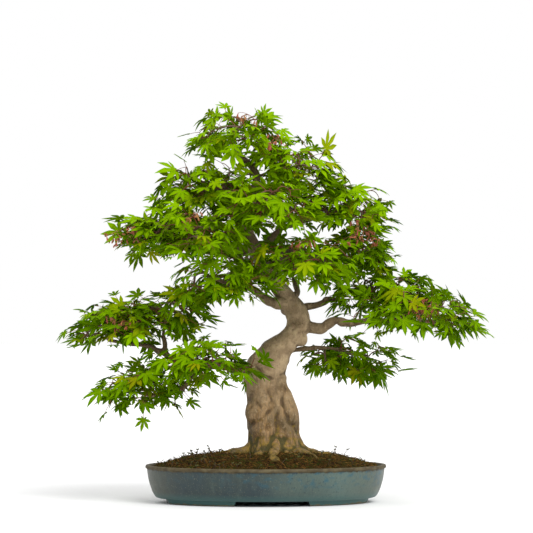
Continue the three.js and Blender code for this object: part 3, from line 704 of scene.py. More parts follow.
def glaze_finish(settings):
    """Slate-blue glaze over brown clay: broad clouds of slate and grey-green that turn paler towards +X,
    partly the glaze's own paler teal and partly painted light from the lamp's side, turquoise pools high
    on the wall, dark streaks just under the lip, a teal band by the foot, and the clay showing through
    where the glaze is thin along the lip and edges."""
    finish = Finish("blue_grey_glaze", 0.3)
    middle = finish.stretched((1, 1, 1), start=tuple(-POT_MIDDLE))
    apart = finish.add("ShaderNodeSeparateXYZ", {"Vector": middle}).outputs
    across, height = apart["X"], apart["Z"]
    lip_from, rim = (POT_HEIGHT - LIP_HEIGHT) * MM, POT_HEIGHT * MM

    clouds = finish.mottled(rgba(settings.glaze), rgba(settings.glaze_green), 15, 0.4, 0.62, 0.85, 7)
    # Painted light: the glaze turns paler towards +X, the side the lamp comes from, over the glaze's own
    # paler teal there.
    drift = finish.noise(11.0, 5.0, middle)["Fac"]
    side = finish.reckoned("MULTIPLY_ADD", drift, 0.22, across)
    colour = finish.mixed(finish.between(side, 0.06, 0.25, 0.05, 0.95), clouds.outputs["Color"],
                          rgba(settings.glaze_pale_and_lit))
    far = finish.reckoned("MULTIPLY_ADD", drift, 0.12, finish.reckoned("ABSOLUTE", across))
    colour = finish.mixed(finish.between(far, 0.19, 0.26, 0, 0.6), colour, rgba(settings.glaze_olive))
    runs = finish.mottled(colour, rgba(settings.glaze_dark), 1.0, 0.5, 0.74, 0.22, 6,
                          finish.stretched((190, 190, 15), middle))
    washed = finish.mottled(runs.outputs["Color"], rgba(settings.glaze_pale_and_lit), 1.0, 0.54, 0.76, 0.24, 7,
                            finish.stretched((150, 150, 12), middle, (3, 1, 0)))
    pooled = finish.reckoned("MULTIPLY", finish.between(height, 0.022, 0.042),
                             finish.between(across, -0.1, 0.0, 0.12, 0.72))
    pools = finish.mottled(washed.outputs["Color"], rgba(settings.glaze_pool), 1.0, 0.5, 0.66, pooled, 12,
                           finish.stretched((70, 70, 105), middle))
    specks = finish.mottled(pools.outputs["Color"], rgba(settings.glaze_dark), 330, 0.58, 0.7, 0.55, 3)
    grains = finish.mottled(specks.outputs["Color"], rgba(settings.glaze_grain), 520, 0.62, 0.72, 0.5, 2)
    by_foot = finish.between(height, 0.02, 0.007, 0, 0.75)
    colour = finish.mixed(by_foot, grains.outputs["Color"], rgba(settings.glaze_foot))

    # Darker glaze colour in streaks just under the lip, reaching down from it.
    under_lip_streaks = finish.noise(1.0, 3.0, finish.stretched((240, 240, 4), middle))["Fac"]
    under = finish.between(finish.reckoned("MULTIPLY_ADD", under_lip_streaks, 0.014, height),
                           lip_from + 0.0045, lip_from + 0.0075, 0, 0.75)
    colour = finish.mixed(under, colour, rgba(settings.glaze_dark))
    wobble = finish.noise(110.0, 7.0)["Fac"]
    ragged = finish.reckoned("MULTIPLY_ADD", wobble, 0.008, height)
    lip = finish.between(ragged, lip_from + 0.0025, lip_from + 0.0042)
    clay = finish.mottled(rgba(settings.lip), rgba(settings.lip_worn), 90, 0.42, 0.68, 0.7, 9)
    colour = finish.mixed(lip, colour, clay.outputs["Color"])
    top = finish.between(ragged, rim + 0.0025, rim + 0.0042, 0, 0.5)
    colour = finish.mixed(top, colour, rgba(settings.lip_worn))
    foot = finish.between(ragged, 0.0066, 0.0052, 0, 0.85)
    finish.set("Base Color", finish.mixed(foot, colour, rgba(settings.lip_worn)))

    bare = finish.between(finish.reckoned("MAXIMUM", lip, foot), 0, 1, 0.3, 0.58)
    finish.set("Roughness", finish.reckoned("MULTIPLY_ADD", wobble, 0.22, bare))
    finish.shader.inputs["Specular IOR Level"].default_value = 0.35
    finish.relief(300, 0.35, 0.0007)
    return finish.material


# ---- wires, screens, grit and soil ----


def make_wires(settings):
    """Round wires along the same lines as the CAD's: a staple over each drain screen, and the wire that
    ties the root mass down."""
    metal = Finish("aluminium_wire", 0.42, 1.0)
    dull = metal.mottled(rgba(settings.wire), rgba(settings.wire_dull), 300, 0.4, 0.65, 0.8)
    metal.set("Base Color", dull.outputs["Color"])
    metal.relief(900, 0.25, 0.0003)
    over = FLOOR_TOP + 2 * FIT_GAP + SCREEN_THICKNESS + CLIP_WIRE_RADIUS
    under = FLOOR_BOTTOM - FIT_GAP - CLIP_WIRE_RADIUS
    leg = SCREEN_PITCH
    staple = np.array([
        [0, -DRAIN_RADIUS - 6, under], [0, -leg - 2, under], [0, -leg, under + 2], [0, -leg, over - 1.5],
        [0, -leg + 1.5, over], [0, leg - 1.5, over], [0, leg, over - 1.5], [0, leg, under + 2],
        [0, leg + 2, under], [0, DRAIN_RADIUS + 6, under],
    ])
    for side, word in ((-1, "left"), (1, "right")):
        path = smooth_path(staple + [side * DRAIN_SPACING / 2, 0, 0], 90)[None]
        points, faces = swept_tubes(path, np.full((1, 90), CLIP_WIRE_RADIUS - WIRE_PLAY), 12)
        new_piece(f"screen_staple_{word}", in_frame(points), faces, metal.material,
                  [f"screen_clip_{word}"])
    hole, floor = WIRE_HOLE_SPACING / 2, FLOOR_BOTTOM - 2
    half = np.array([
        [0, hole / 2, floor], [0, hole - 6, floor], [0, hole - 1, floor + 0.4], [0, hole, floor + 3],
        [0, hole, FLOOR_TOP + 8], [-1, hole - 2, FLOOR_TOP + 18], [-3, hole - 9, FLOOR_TOP + 27],
    ])
    path = smooth_path(np.concatenate([(half * [-1, -1, 1])[::-1], half]), 160)[None]
    points, faces = swept_tubes(path, np.full((1, 160), TIE_WIRE_RADIUS - WIRE_PLAY), 12)
    new_piece("root_wire", in_frame(points), faces, metal.material, ["tie_wire"])


def dress_hidden_nodes(settings):
    """Node finishes for the CAD pieces that keep their shape: screens, grit and soil."""
    plastic = Finish("screen_plastic", 0.5)
    dusty = plastic.mottled(rgba(settings.screen), rgba(settings.screen_dusty), 120, 0.45, 0.7, 0.7)
    plastic.set("Base Color", dusty.outputs["Color"])
    plastic.relief(500, 0.3, 0.0004)
    stone = Finish("drainage_grit", 0.9)
    pebbles = stone.add("ShaderNodeTexVoronoi", {"Vector": stone.place, "Scale": 260.0})
    shade = stone.mottled(rgba(settings.grit), rgba(settings.grit_dark_and_gap_shade), 90, 0.4, 0.65, 0.8)
    # Painted shade: the gaps between the pebbles take the dark grit colour.
    stone.set("Base Color", stone.mixed(pebbles.outputs["Distance"], shade.outputs["Color"],
                                        rgba(settings.grit_dark_and_gap_shade)))
    bump = stone.add("ShaderNodeBump", {"Height": pebbles.outputs["Distance"], "Strength": 0.9,
                                        "Distance": 0.002}, invert=True)
    stone.set("Normal", bump.outputs["Normal"])
    earth = Finish("planting_soil", 0.95)
    damp = earth.mottled(rgba(settings.soil), rgba(settings.soil_dark), 160, 0.4, 0.62, 0.9, 6)
    earth.set("Base Color", damp.outputs["Color"])
    earth.relief(420, 0.8, 0.0015)
    nodes = {"drain_screen_left": plastic, "drain_screen_right": plastic, "drainage_grit": stone,
             "soil": earth}
    for name, finish in nodes.items():
        node = bpy.data.objects[name]
        node.data.materials.clear()
        node.data.materials.append(finish.material)


# ---- ground ----


def ground_height(x, y):
    """The planted surface over the pot, in millimetres: a full cosine mound from the wall's edge up to
    the trunk, broken by two sizes of hummocks and a fine crumb."""
    reach = np.sqrt((x / (HALF_LENGTH - WALL - 2)) ** 2 + (y / (HALF_WIDTH - WALL - 2)) ** 2)
    places = np.stack([x, y, 0 * x], axis=-1)
    hummocks = 2.0 * smooth_noise(places, 34, 11) + 1.6 * smooth_noise(places, 13, 12)
    crumb = 1.1 * smooth_noise(places, 5, 13) + 0.6 * smooth_noise(places, 2.6, 14)
    inside = 1 - soft_step(reach, 0.9, 1.0)
    fall = np.cos(np.pi / 2 * np.clip(reach, 0, 1) ** MOUND_FULLNESS)
    return MOUND_EDGE + MOUND_RISE * fall + hummocks * inside + crumb * (0.35 + 0.65 * inside)


def make_ground(settings):
    """The moss and litter as a closed layer: rings of points from the middle to the wall follow the
    ground's height, and some of the same rings, lower by the layer's thickness, close it underneath."""
    rings, columns = 150, 400
    reach = np.linspace(0, 1, rings + 1)[1:, None]
    angle = np.linspace(0, 2 * np.pi, columns, endpoint=False)
    x = (HALF_LENGTH - WALL - 2.4) * reach * np.cos(angle)
    y = (HALF_WIDTH - WALL - 2.4) * reach * np.sin(angle)
    upper = np.stack([x, y, ground_height(x, y)], axis=-1)
    lower = upper[::-15] - [0, 0, MOSS_THICKNESS]
    middle_top = np.array([[0, 0, ground_height(np.zeros(1), np.zeros(1))[0]]])
    places = np.concatenate([upper, lower])
    rows = len(places)
    points = np.concatenate([places.reshape(-1, 3), middle_top, middle_top - [0, 0, MOSS_THICKNESS]])
    faces = [grid_quads(rows, columns)[:, ::-1], pole_caps(rows, columns)[:, ::-1]]
    new_piece("moss_and_litter", in_frame(points), faces, ground_finish(settings), ["moss"])


def ground_finish(settings):
    """Dark red-brown litter under paler fibres, with patches of olive and green moss, and a crumb
    pressed into the normal."""
    finish = Finish("moss_and_litter", 0.95)
    finish.shader.inputs["Specular IOR Level"].default_value = 0.08
    litter = finish.mottled(rgba(settings.litter), rgba(settings.litter_dark), 170, 0.4, 0.58, 0.95, 8)
    swirled = finish.pushed(finish.noise(90.0, 2.0)["Color"], 0.05)
    fibres = finish.mottled(litter.outputs["Color"], rgba(settings.stem_pale), 200, 0.58, 0.66, 0.75, 2,
                            swirled)
    olive = finish.mottled(fibres.outputs["Color"], rgba(settings.moss_olive), 34, 0.5, 0.62, 0.7, 7)
    green = finish.mottled(olive.outputs["Color"], rgba(settings.moss_green), 46, 0.58, 0.68, 0.8, 7)
    finish.set("Base Color", green.outputs["Color"])
    finish.relief(430, 1.0, 0.003)
    return finish.material


def scattered(count, low, high, seed):
    """Places on the ground with their reach spread between two shares of the way to the wall."""
    random = np.random.default_rng(seed)
    angle = random.uniform(0, 2 * np.pi, count)
    reach = np.sqrt(random.uniform(low**2, high**2, count))
    x = (HALF_LENGTH - WALL - 4) * reach * np.cos(angle)
    y = (HALF_WIDTH - WALL - 4) * reach * np.sin(angle)
    return np.stack([x, y, ground_height(x, y)], axis=-1), random


def make_litter(settings):
    """Dead moss stems and needles: short bent tubes of three rings that lie over the ground, each with a
    random heading and rise."""
    count = settings.litter_count
    places, random = scattered(count, 0.12, 0.985, 21)
    heading = random.uniform(0, 2 * np.pi, count)
    length = random.gamma(4.0, 1.7, count).clip(3, 15)
    lift = random.uniform(0, 1, count) ** 3 * 1.3
    forward = np.stack([np.cos(heading), np.sin(heading), lift], axis=-1)
    bend = random.normal(0, 0.35, (count, 3)) + [0, 0, 0.25]
    share = np.array([-0.5, 0, 0.5])[None, :, None]
    paths = places[:, None] + (forward * length[:, None])[:, None] * share
    paths = paths + (bend * length[:, None] * 0.25)[:, None] * (1 - 4 * share**2) + [0, 0, 0.5]
    radii = random.uniform(0.3, 0.62, count)[:, None] * np.array([0.7, 1.0, 0.45])
    points, faces = swept_tubes(paths, radii, 3)
    tone = np.repeat(random.uniform(0, 1, (count, 4)), 11, axis=0)
    finish = Finish("litter_stems", 0.85)
    finish.shader.inputs["Specular IOR Level"].default_value = 0.12
    parts = finish.tone()
    brown = finish.mixed(finish.between(parts["Red"], 0.25, 0.95), rgba(settings.litter),
                         rgba(settings.stem_pale))
    greener = finish.between(parts["Green"], 0.62, 0.72, 0, 0.8)
    finish.set("Base Color", finish.mixed(greener, brown, rgba(settings.moss_green)))
    finish.relief(900, 0.4, 0.0003)
    new_piece("litter_stems", in_frame(points), faces, finish.material, ["moss"], values=tone)


# ---- wood ----


def ellipsoid(middle, half, rings=16, columns=24):
    """A closed ellipsoid from rings of points between its two poles."""
    latitude = np.linspace(-np.pi / 2, np.pi / 2, rings + 2)[1:-1, None]
    angle = np.linspace(0, 2 * np.pi, columns, endpoint=False)
    body = np.stack([
        np.cos(latitude) * np.cos(angle), np.cos(latitude) * np.sin(angle), np.sin(latitude) + 0 * angle,
    ], axis=-1)
    points = np.concatenate([body.reshape(-1, 3), [[0, 0, -1.0], [0, 0, 1.0]]]) * half + middle
    return points, [grid_quads(rings, columns), pole_caps(rings, columns)]


def trunk_surface():
    """The trunk: an ellipse carried along its line, its first axis kept across X. Low down, long lobes
    swell and pinch the ellipse, and they turn a little with height."""
    rows = smooth_path(TRUNK, TRUNK_ROWS)
    path, half = rows[:, :3], rows[:, 3:]
    along = unit(np.gradient(path, axis=0))
    side = unit(np.cross([0.0, 1.0, 0.0], along))
    depth = np.cross(along, side)
    angle = np.linspace(0, 2 * np.pi, 72, endpoint=False)
    low = 1 - soft_step(path[:, 2:3], 120, 250)
    turn = path[:, 2:3] / 90
    broad = 0.05 * (0.35 + low) * np.sin(3 * angle + turn)
    narrow = 0.035 * (0.3 + low) * np.sin(5 * angle - 1.4 * turn + 1)
    lobes = 1 + broad + narrow
    body = (path[:, None] + side[:, None] * (half[:, :1] * np.cos(angle) * lobes)[..., None]
            + depth[:, None] * (half[:, 1:] * np.sin(angle) * lobes)[..., None])
    ends = np.stack([path[0] - along[0], path[-1] + along[-1] * half[-1, 0] * 0.7])
    faces = [grid_quads(len(path), len(angle)), pole_caps(len(path), len(angle))]
    return np.concatenate([body.reshape(-1, 3), ends]), faces


def branch_line(name, spacing=4.0):
    """A branch's places and radii: its points smoothed, with the radius falling along its length."""
    base, tip, points = BRANCHES[name]
    points = np.asarray(points, float)
    length = np.linalg.norm(np.diff(points, axis=0), axis=1).sum()
    count = max(8, int(length / spacing))
    path = smooth_path(points, count)
    share = np.linspace(0, 1, count) ** 0.7
    kinks = np.stack([layered_noise(path, 24, 30 + 5 * k, 2) for k in range(3)], axis=-1)
    away = np.sin(np.pi * np.linspace(0, 1, count))[:, None]
    knobs = 1 + 0.2 * smooth_noise(path, 9, 38) + 0.14 * smooth_noise(path, 22, 39)
    return path + kinks * away * 2.0, (base + (tip - base) * share) * knobs


def root_path(turn, reach, shares, heights, waver, over_ground, count):
    """A root's path from the trunk's foot out to shares of its reach, on one heading, wavering more and
    more to its sides, and kept over the ground by a height that runs between two values."""
    angle = 2 * np.pi * turn
    out = np.array([math.cos(angle), 0.9 * math.sin(angle), 0])
    across = np.array([-math.sin(angle), math.cos(angle), 0])
    foot = np.array([TRUNK[1][0], TRUNK[1][1], 0])
    line = foot + out * (reach * np.array(shares))[:, None] + np.array(heights)[:, None] * [0, 0, 1.0]
    line = line + across * (ROOT_WAVER * np.sin(waver) * np.linspace(0, 1, len(shares)))[:, None]
    path = smooth_path(line, count)
    ground = ground_height(path[:, 0], path[:, 1]) + np.linspace(*over_ground, count)
    path[:, 2] = np.maximum(path[:, 2], ground)
    return path


def root_line(index):
    """A surface root: it leaves the trunk's foot as a broad ridge and dives into the ground, with its own
    heading and reach."""
    turn = (index + 0.3 * math.sin(2.4 * index)) / ROOT_COUNT
    reach = ROOT_LENGTH * (1 + 0.16 * math.sin(3.7 * index + 1))
    path = root_path(turn, reach, [0.3, 0.6, 0.88, 1.16, 1.42], [103, 84, 76, 71, 62],
                     2.2 * np.arange(5) + index, (3, -6), 26)
    return path, ROOT_RADIUS * (1 - 0.8 * np.linspace(0, 1, 26) ** 0.6)


def fine_root_line(index):
    """A thin root between the surface roots, which runs along the ground."""
    turn = (index + 0.55 + 0.2 * math.sin(5.1 * index)) / FINE_ROOT_COUNT
    reach = ROOT_LENGTH * (0.86 + 0.12 * math.sin(2.9 * index))
    path = root_path(turn, reach, [0.5, 0.74, 0.98, 1.25, 1.5], [80, 76, 77, 74, 66],
                     1.9 * np.arange(5) + 2 * index, (2, -3), 20)
    return path, np.linspace(5.6, 2.4, 20)


def wood_lines():
    """The lines of the trunk and the branches, each with its radius."""
    trunk = smooth_path(TRUNK, TRUNK_ROWS)
    lines = [(trunk[:, :3], trunk[:, 3:].mean(axis=1))]
    lines += [branch_line(name) for name in BRANCHES]
    return lines


def line_distance(across, up, line):
    """How far each place lies from a polyline, both in the XZ plane: the least distance to any of its
    stretches, each found by clamping the place's foot on the stretch to its two ends."""
    line = np.asarray(line, float)
    least = np.full(across.shape, 1e9)
    for (x0, z0), (x1, z1) in zip(line[:-1], line[1:]):
        dx, dz = x1 - x0, z1 - z0
        share = np.clip(((across - x0) * dx + (up - z0) * dz) / (dx * dx + dz * dz), 0, 1)
        least = np.minimum(least, np.hypot(across - x0 - share * dx, up - z0 - share * dz))
    return least


def bark_relief(points, normals, thick):
    """How far each point of the wood moves along its normal, in millimetres: broad lumps, ridges drawn
    out along Z that deepen towards the base, the old folds and scars on the tree's best side, each a
    rounded groove along its line, and rings that pinch the wood where it bends. Also returns how near
    each point is to a fold, from 0 to 1."""
    x, z = points[:, 0], points[:, 2]
    base = 1 - soft_step(z, 95, 200)
    size = np.clip(thick / 30, 0.2, 1)
    moved = layered_noise(points, 26, 41, 2) * 1.6 * size
    ridges = layered_noise(points * [1, 1, 0.2], 8, 45, 2)
    moved += ridges * (0.15 + 0.45 * base) * size
    warp = 7 * smooth_noise(points, 30, 47)
    flutes = np.abs(smooth_noise((points + warp[:, None]) * [1, 1, 0.2], 15, 49))
    moved -= 1.1 * base * np.exp(-(flutes / 0.2) ** 2) * size
    front = soft_step(-normals[:, 1], -0.05, 0.45)
    drift = 2.6 * smooth_noise(points, 12, 55)
    ragged = 0.75 + 0.5 * smooth_noise(points, 9, 57)
    crease = np.zeros(len(points))
    for depth, width, line in FOLDS:
        away = line_distance(x + drift, z + drift, line) / width
        moved -= depth * np.exp(-away**2) * front * ragged
        moved += 0.3 * depth * np.exp(-(away - 2.4) ** 2) * front
        crease = np.maximum(crease, np.exp(-(away / 0.75) ** 2) * front * ragged * min(depth / 3, 1))
    bend = soft_step(z, 180, 215) * (1 - soft_step(z, 250, 330))
    moved += 0.22 * np.sin(z / 2.3 + 4 * smooth_noise(points, 20, 53)) * bend * size
    return moved + 0.22 * smooth_noise(points, 5, 51) * size, crease


def nearest_thickness(points, lines):
    """The radius of the nearest line at each point, from the distances to all of the lines' places."""
    places = np.concatenate([path for path, _ in lines])
    radii = np.concatenate([radius for _, radius in lines])
    squares = np.sum(places**2, axis=1)
    nearest = [
        np.argmin(squares - 2 * part @ places.T - radii**2, axis=1)
        for part in np.array_split(points, max(1, len(points) // 8000))
    ]
    return radii[np.concatenate(nearest)]


def hollowness(mesh, points, normals, rounds):
    """How deep each point lies under the mean of its neighbours, along its normal, over a few rounds of
    averaging along the edges."""
    edges = np.empty(len(mesh.edges) * 2, np.int32)
    mesh.edges.foreach_get("vertices", edges)
    a, b = edges.reshape(-1, 2).T
    count = np.bincount(np.concatenate([a, b]), minlength=len(points))[:, None]
    mean = points
    for _ in range(rounds):
        total = np.zeros_like(mean)
        for axis in range(3):
            total[:, axis] = np.bincount(a, mean[b, axis], len(points))
            total[:, axis] += np.bincount(b, mean[a, axis], len(points))
        mean = total / count
    return np.sum((mean - points) * normals, axis=1)


def wood_parts():
    """The trunk, branches, roots and knots as separate closed bodies that run into each other."""
    parts = [trunk_surface()]
    tubes = [(branch_line(name), 20) for name in BRANCHES]
    tubes += [(root_line(index), 28) for index in range(ROOT_COUNT)]
    tubes += [(fine_root_line(index), 14) for index in range(FINE_ROOT_COUNT)]
    for (path, radius), sides in tubes:
        parts.append(swept_tubes(path[None], radius[None], sides))
    for x, y, z, half_wide, half_high in KNOTS:
        parts.append(ellipsoid([x, y, z], [half_wide, half_wide, half_high]))
    return joined(parts)


def wood_skin(settings):
    """One skin over all the parts of the wood, from cells of one size, then smoothed."""
    points, faces = wood_parts()
    mesh = bpy.data.meshes.new("wood_parts")
    fill_mesh(mesh, in_frame(points, TREE_TURN), faces)
    rough = in_scene("wood_parts", mesh)
    skin = rough.modifiers.new("skin", "REMESH")
    skin.mode = "VOXEL"
    skin.voxel_size = settings.wood_cell
    smooth = rough.modifiers.new("smooth", "SMOOTH")
    smooth.factor = 0.6
    smooth.iterations = 5
    return settled_mesh("trunk_and_boughs", rough)


def wood_tone(mesh, back, thick, crease):
    """The bark's four values at each point: how mossy it is, how hollow (0.5 is flat), how thin the wood
    is, and how far it is above the browner foot."""
    places, normals = mesh_arrays(mesh)
    bulk = np.clip(thick / 34, 0.12, 1.2)
    hollow = hollowness(mesh, places, normals, 10) / MM * 0.9 * bulk
    broad = 0.16 * hollowness(mesh, places, normals, 60) / MM * bulk
    # This hollow value, with the folds added, later paints shade in the hollows and a highlight on the
    # ridges.
    hollow = np.clip(hollow + broad + 0.3 * crease, -1, 1)
    height = back[:, 2]
    patchy = soft_step(layered_noise(back, 15, 61) + 1.2 * hollow, -0.4, 0.7)
    moss = (1 - soft_step(height, 90, 130)) * (0.55 + 0.45 * patchy)
    moss += 0.42 * (1 - soft_step(height, 110, 190)) * soft_step(hollow, 0.05, 0.5)
    moss = np.clip(moss + 0.6 * (1 - soft_step(height, 78, 90)), 0, 1)
    thin = 1 - soft_step(thick, 5, 16)
    return np.stack([moss, hollow * 0.5 + 0.5, thin, soft_step(height, 110, 250)], axis=-1)


def make_wood(settings):
    """The wood's skin with the bark's relief pressed into it, and the mat of roots under it."""
    mesh = wood_skin(settings)
    places, normals = mesh_arrays(mesh)
    back = in_tree_axes(places - POT_MIDDLE)
    thick = nearest_thickness(back, wood_lines())
    moved, crease = bark_relief(back, in_tree_axes(normals * MM), thick)
    places = places + normals * (moved * MM)[:, None]
    mesh.vertices.foreach_set("co", places.astype(np.float32).ravel())
    mesh.update()
    set_values(mesh, "tone", wood_tone(mesh, back, thick, crease))
    mesh.polygons.foreach_set("use_smooth", np.full(len(mesh.polygons), True))
    mesh.materials.clear()
    mesh.materials.append(bark_finish(settings))
    piece = in_scene("trunk_and_boughs", mesh)
    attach(piece, "root")
    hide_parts("trunk_and_branches")
    make_root_mass(settings)


def in_tree_axes(offsets):
    """Offsets from the pot's middle in the frame, in metres, as millimetres in the tree's own axes."""
    x, y, z = offsets[..., 0] / MM, offsets[..., 1] / MM, offsets[..., 2] / MM
    turn = -TREE_TURN
    return np.stack([x * np.cos(turn) - y * np.sin(turn), x * np.sin(turn) + y * np.cos(turn), z], -1)


def make_root_mass(settings):
    """The buried mat of roots: a flat ellipsoid with a matted, uneven surface."""
    points, faces = ellipsoid([0, 0, 0], [1, 1, 1], 36, 72)
    rough = 1 + 0.05 * layered_noise(points, 0.35, 71) * (1 - np.abs(points[:, 2:]) ** 3).ravel()
    half = [ROOT_MASS_RADIUS - 2, 0.85 * ROOT_MASS_RADIUS - 2, ROOT_MASS_HALF_DEPTH]
    shape = points * rough[:, None] * half
    finish = Finish("matted_roots", 0.9)
    mat = finish.mottled(rgba(settings.bark_low), rgba(settings.bark_dark_and_hollow_shade), 240, 0.4, 0.62, 0.8, 6)
    finish.set("Base Color", mat.outputs["Color"])
    finish.relief(600, 0.8, 0.001)
    new_piece("root_mass", in_frame(shape + TRUNK[0][:3], TREE_TURN), faces, finish.material,
              ["trunk_and_branches"])


def bark_finish(settings):
    """Grey-beige bark in pale and brown clouds, browner and finely lined low down and on thin wood, with
    warts and specks at two sizes, painted shade in its hollows and along its folds, a painted highlight
    on its ridges, and yellow-green moss over the roots and in the folds above them, with painted shade
    in the mossy hollows near the ground."""
    finish = Finish("maple_bark", 0.82)
    high = finish.add("ShaderNodeAttribute", attribute_name="tone").outputs["Alpha"]
    tone = finish.tone()
    mossy, hollow, thin = tone["Red"], tone["Green"], tone["Blue"]
    bent = finish.pushed(finish.noise(30.0, 3.0)["Color"], 0.012)

    clouds = finish.mottled(rgba(settings.bark), rgba(settings.bark_pale_and_ridge_highlight), 42, 0.42, 0.6, 0.85, 8, bent)
    stains = finish.mottled(clouds.outputs["Color"], rgba(settings.bark_low), 26, 0.5, 0.66, 0.6, 7, bent)
    low = finish.mottled(rgba(settings.bark_low), rgba(settings.bark_tan), 1.0, 0.42, 0.6, 0.85, 6,
                         finish.stretched((300, 300, 34), bent))
    colour = finish.mixed(high, low.outputs["Color"], stains.outputs["Color"])
    weathered = finish.between(high, 0.0, 1.0, 0.8, 0.15)
    blotches = finish.mottled(colour, rgba(settings.bark_stain), 24, 0.47, 0.6, weathered, 7, bent)
    colour = finish.mixed(finish.between(thin, 0.15, 0.9, 0, 0.85), blotches.outputs["Color"],
                          rgba(settings.bark_twig))
    fissures = finish.mottled(colour, rgba(settings.bark_dark_and_hollow_shade), 1.0, 0.54, 0.74, 0.5, 8,
                              finish.stretched((250, 250, 70), bent))
    specks = finish.mottled(fissures.outputs["Color"], rgba(settings.bark_dark_and_hollow_shade), 330, 0.6, 0.7, 0.35, 3)
    flecks = finish.mottled(specks.outputs["Color"], rgba(settings.bark_pale_and_ridge_highlight), 190, 0.56, 0.68, 0.35, 5)
    # Painted shade: the bark darkens in its hollows and along the old folds, where shade falls.
    colour = finish.mixed(finish.between(hollow, 0.54, 0.9, 0, 0.72), flecks.outputs["Color"],
                          rgba(settings.bark_dark_and_hollow_shade))
    # Painted highlight: the ridges turn paler.
    colour = finish.mixed(finish.between(hollow, 0.46, 0.2, 0, 0.16), colour, rgba(settings.bark_pale_and_ridge_highlight))

    wobble = finish.noise(130.0, 7.0)["Fac"]
    patch = finish.reckoned("MULTIPLY_ADD", finish.reckoned("ADD", wobble, -0.5), 2.2, mossy)
    growth = finish.mottled(rgba(settings.moss_trunk), rgba(settings.moss_trunk_dark_and_shade), 120, 0.42, 0.62,
                            0.9, 6)
    colour = finish.mixed(finish.between(patch, 0.3, 0.8, 0, 0.88), colour, growth.outputs["Color"])
    # Painted shade: the mossy hollows near the ground are darkened.
    shade = finish.between(finish.reckoned("MULTIPLY", mossy, hollow), 0.5, 0.8, 0, 0.85)
    finish.set("Base Color", finish.mixed(shade, colour, rgba(settings.moss_trunk_dark_and_shade)))
    finish.set("Roughness", finish.between(wobble, 0.3, 0.7, 0.7, 0.92))
    finish.relief(330, 1.0, 0.003, finish.stretched((1.25, 1.25, 0.6)))
    return finish.material


# ---- leaves and twigs ----


def leaf_template():
    """One palmate leaf of length 1 from its stalk to its middle tip, lying in XY with its tip along +X.

    Seven lobes fan out from the stalk. Each lobe's outline widens from the notch between the lobes,
    carries a tooth and narrows to its tip, and its midrib is a fold. The top and the underside share
    the outline, so the leaf is a closed thin body. Returns points, faces, how near each point is to a
    midrib, and which points are underneath.
    """
    turns = np.radians([-126, -80, -39, 0, 39, 80, 126])
    lengths = np.array([0.30, 0.66, 0.91, 1.0, 0.91, 0.66, 0.30])
    half_widths = np.array([0.07, 0.115, 0.135, 0.145, 0.135, 0.115, 0.07])
    between_turns = np.radians([-158, -104, -60, -20, 20, 60, 104, 158])
    notch_reach = np.array([0.09, 0.17, 0.25, 0.28, 0.28, 0.25, 0.17, 0.09])
    notches = np.stack([notch_reach * np.cos(between_turns), notch_reach * np.sin(between_turns),
                        0 * between_turns + 0.02], axis=-1)
    forward = np.stack([np.cos(turns), np.sin(turns), 0 * turns], axis=-1)
    sideways = np.stack([-np.sin(turns), np.cos(turns), 0 * turns], axis=-1)
    up = np.array([0, 0, 1.0])

    def along(share, width, rise):
        """A place on every lobe: that share of its length out, that share of its half width aside."""
        reach = lengths * share
        return forward * reach[:, None] + sideways * (half_widths * width)[:, None] + up * rise

    ribs = np.stack([along(0.34, 0, -0.012), along(0.66, 0, -0.008)], axis=1)
    sides = np.stack([along(0.56, -1, 0.022), along(0.56, 1, 0.022), along(0.76, -0.62, 0.012),
                      along(0.76, 0.62, 0.012), along(1.0, 0, 0)], axis=1)
    stalk = np.zeros((1, 3))
    points = np.concatenate([stalk, notches, sides.reshape(-1, 3), ribs.reshape(-1, 3),
                             ribs.reshape(-1, 3) - up * 0.012])
    lobe = np.arange(7)
    edge, top_rib, under_rib = 9 + 5 * lobe, 44 + 2 * lobe, 58 + 2 * lobe
    triangles, quads = [], []
    for rib, flip in ((top_rib, False), (under_rib, True)):
        right_notch, left_notch = 1 + lobe, 2 + lobe
        tri = [np.stack([0 * lobe, right_notch, rib], 1), np.stack([0 * lobe, rib, left_notch], 1)]
        quad = [
            np.stack([right_notch, edge, rib + 1, rib], 1),
            np.stack([rib, rib + 1, edge + 1, left_notch], 1),
            np.stack([edge, edge + 2, edge + 4, rib + 1], 1),
            np.stack([rib + 1, edge + 4, edge + 3, edge + 1], 1),
        ]
        triangles += [t[:, ::-1] if flip else t for t in tri]
        quads += [q[:, ::-1] if flip else q for q in quad]
    number = np.arange(len(points))
    on_rib = ((number == 0) | (number >= top_rib[0])).astype(float)
    under = (number >= under_rib[0]).astype(float)
    return points, [np.concatenate(quads), np.concatenate(triangles)], on_rib, under


def canopy_targets(canopy, phase, count, random):
    """Where a canopy's twigs end: places spread evenly by the golden angle over the upper part of its
    cushion, each at its own share of the way out to the cushion's skin."""
    x, y, z, half_x, half_y, tall, lean = canopy
    index = np.arange(count) + 0.5
    up = 1 - 1.52 * index / count
    turn = np.pi * (1 + 5**0.5) * index + random.uniform(0, 6)
    flat = np.sqrt(np.clip(1 - up**2, 0, 1))
    share = random.uniform(0.1, 1, count) ** 0.5
    share = share * (1 + 0.06 * np.sin(3 * turn + phase) + 0.05 * np.sin(5 * turn + 2 * phase))
    places = np.stack([
        flat * np.cos(turn) * share * (half_x - 14), flat * np.sin(turn) * share * (half_y - 24),
        up * share * np.where(up > 0, tall - 9, tall * 0.5),
    ], axis=-1)
    places += random.normal(0, 3.5, places.shape)
    lean = math.radians(lean)
    turned = np.stack([
        places[:, 0] * math.cos(lean) + places[:, 2] * math.sin(lean), places[:, 1],
        places[:, 2] * math.cos(lean) - places[:, 0] * math.sin(lean),
    ], axis=-1)
    return turned + [x, y, z]


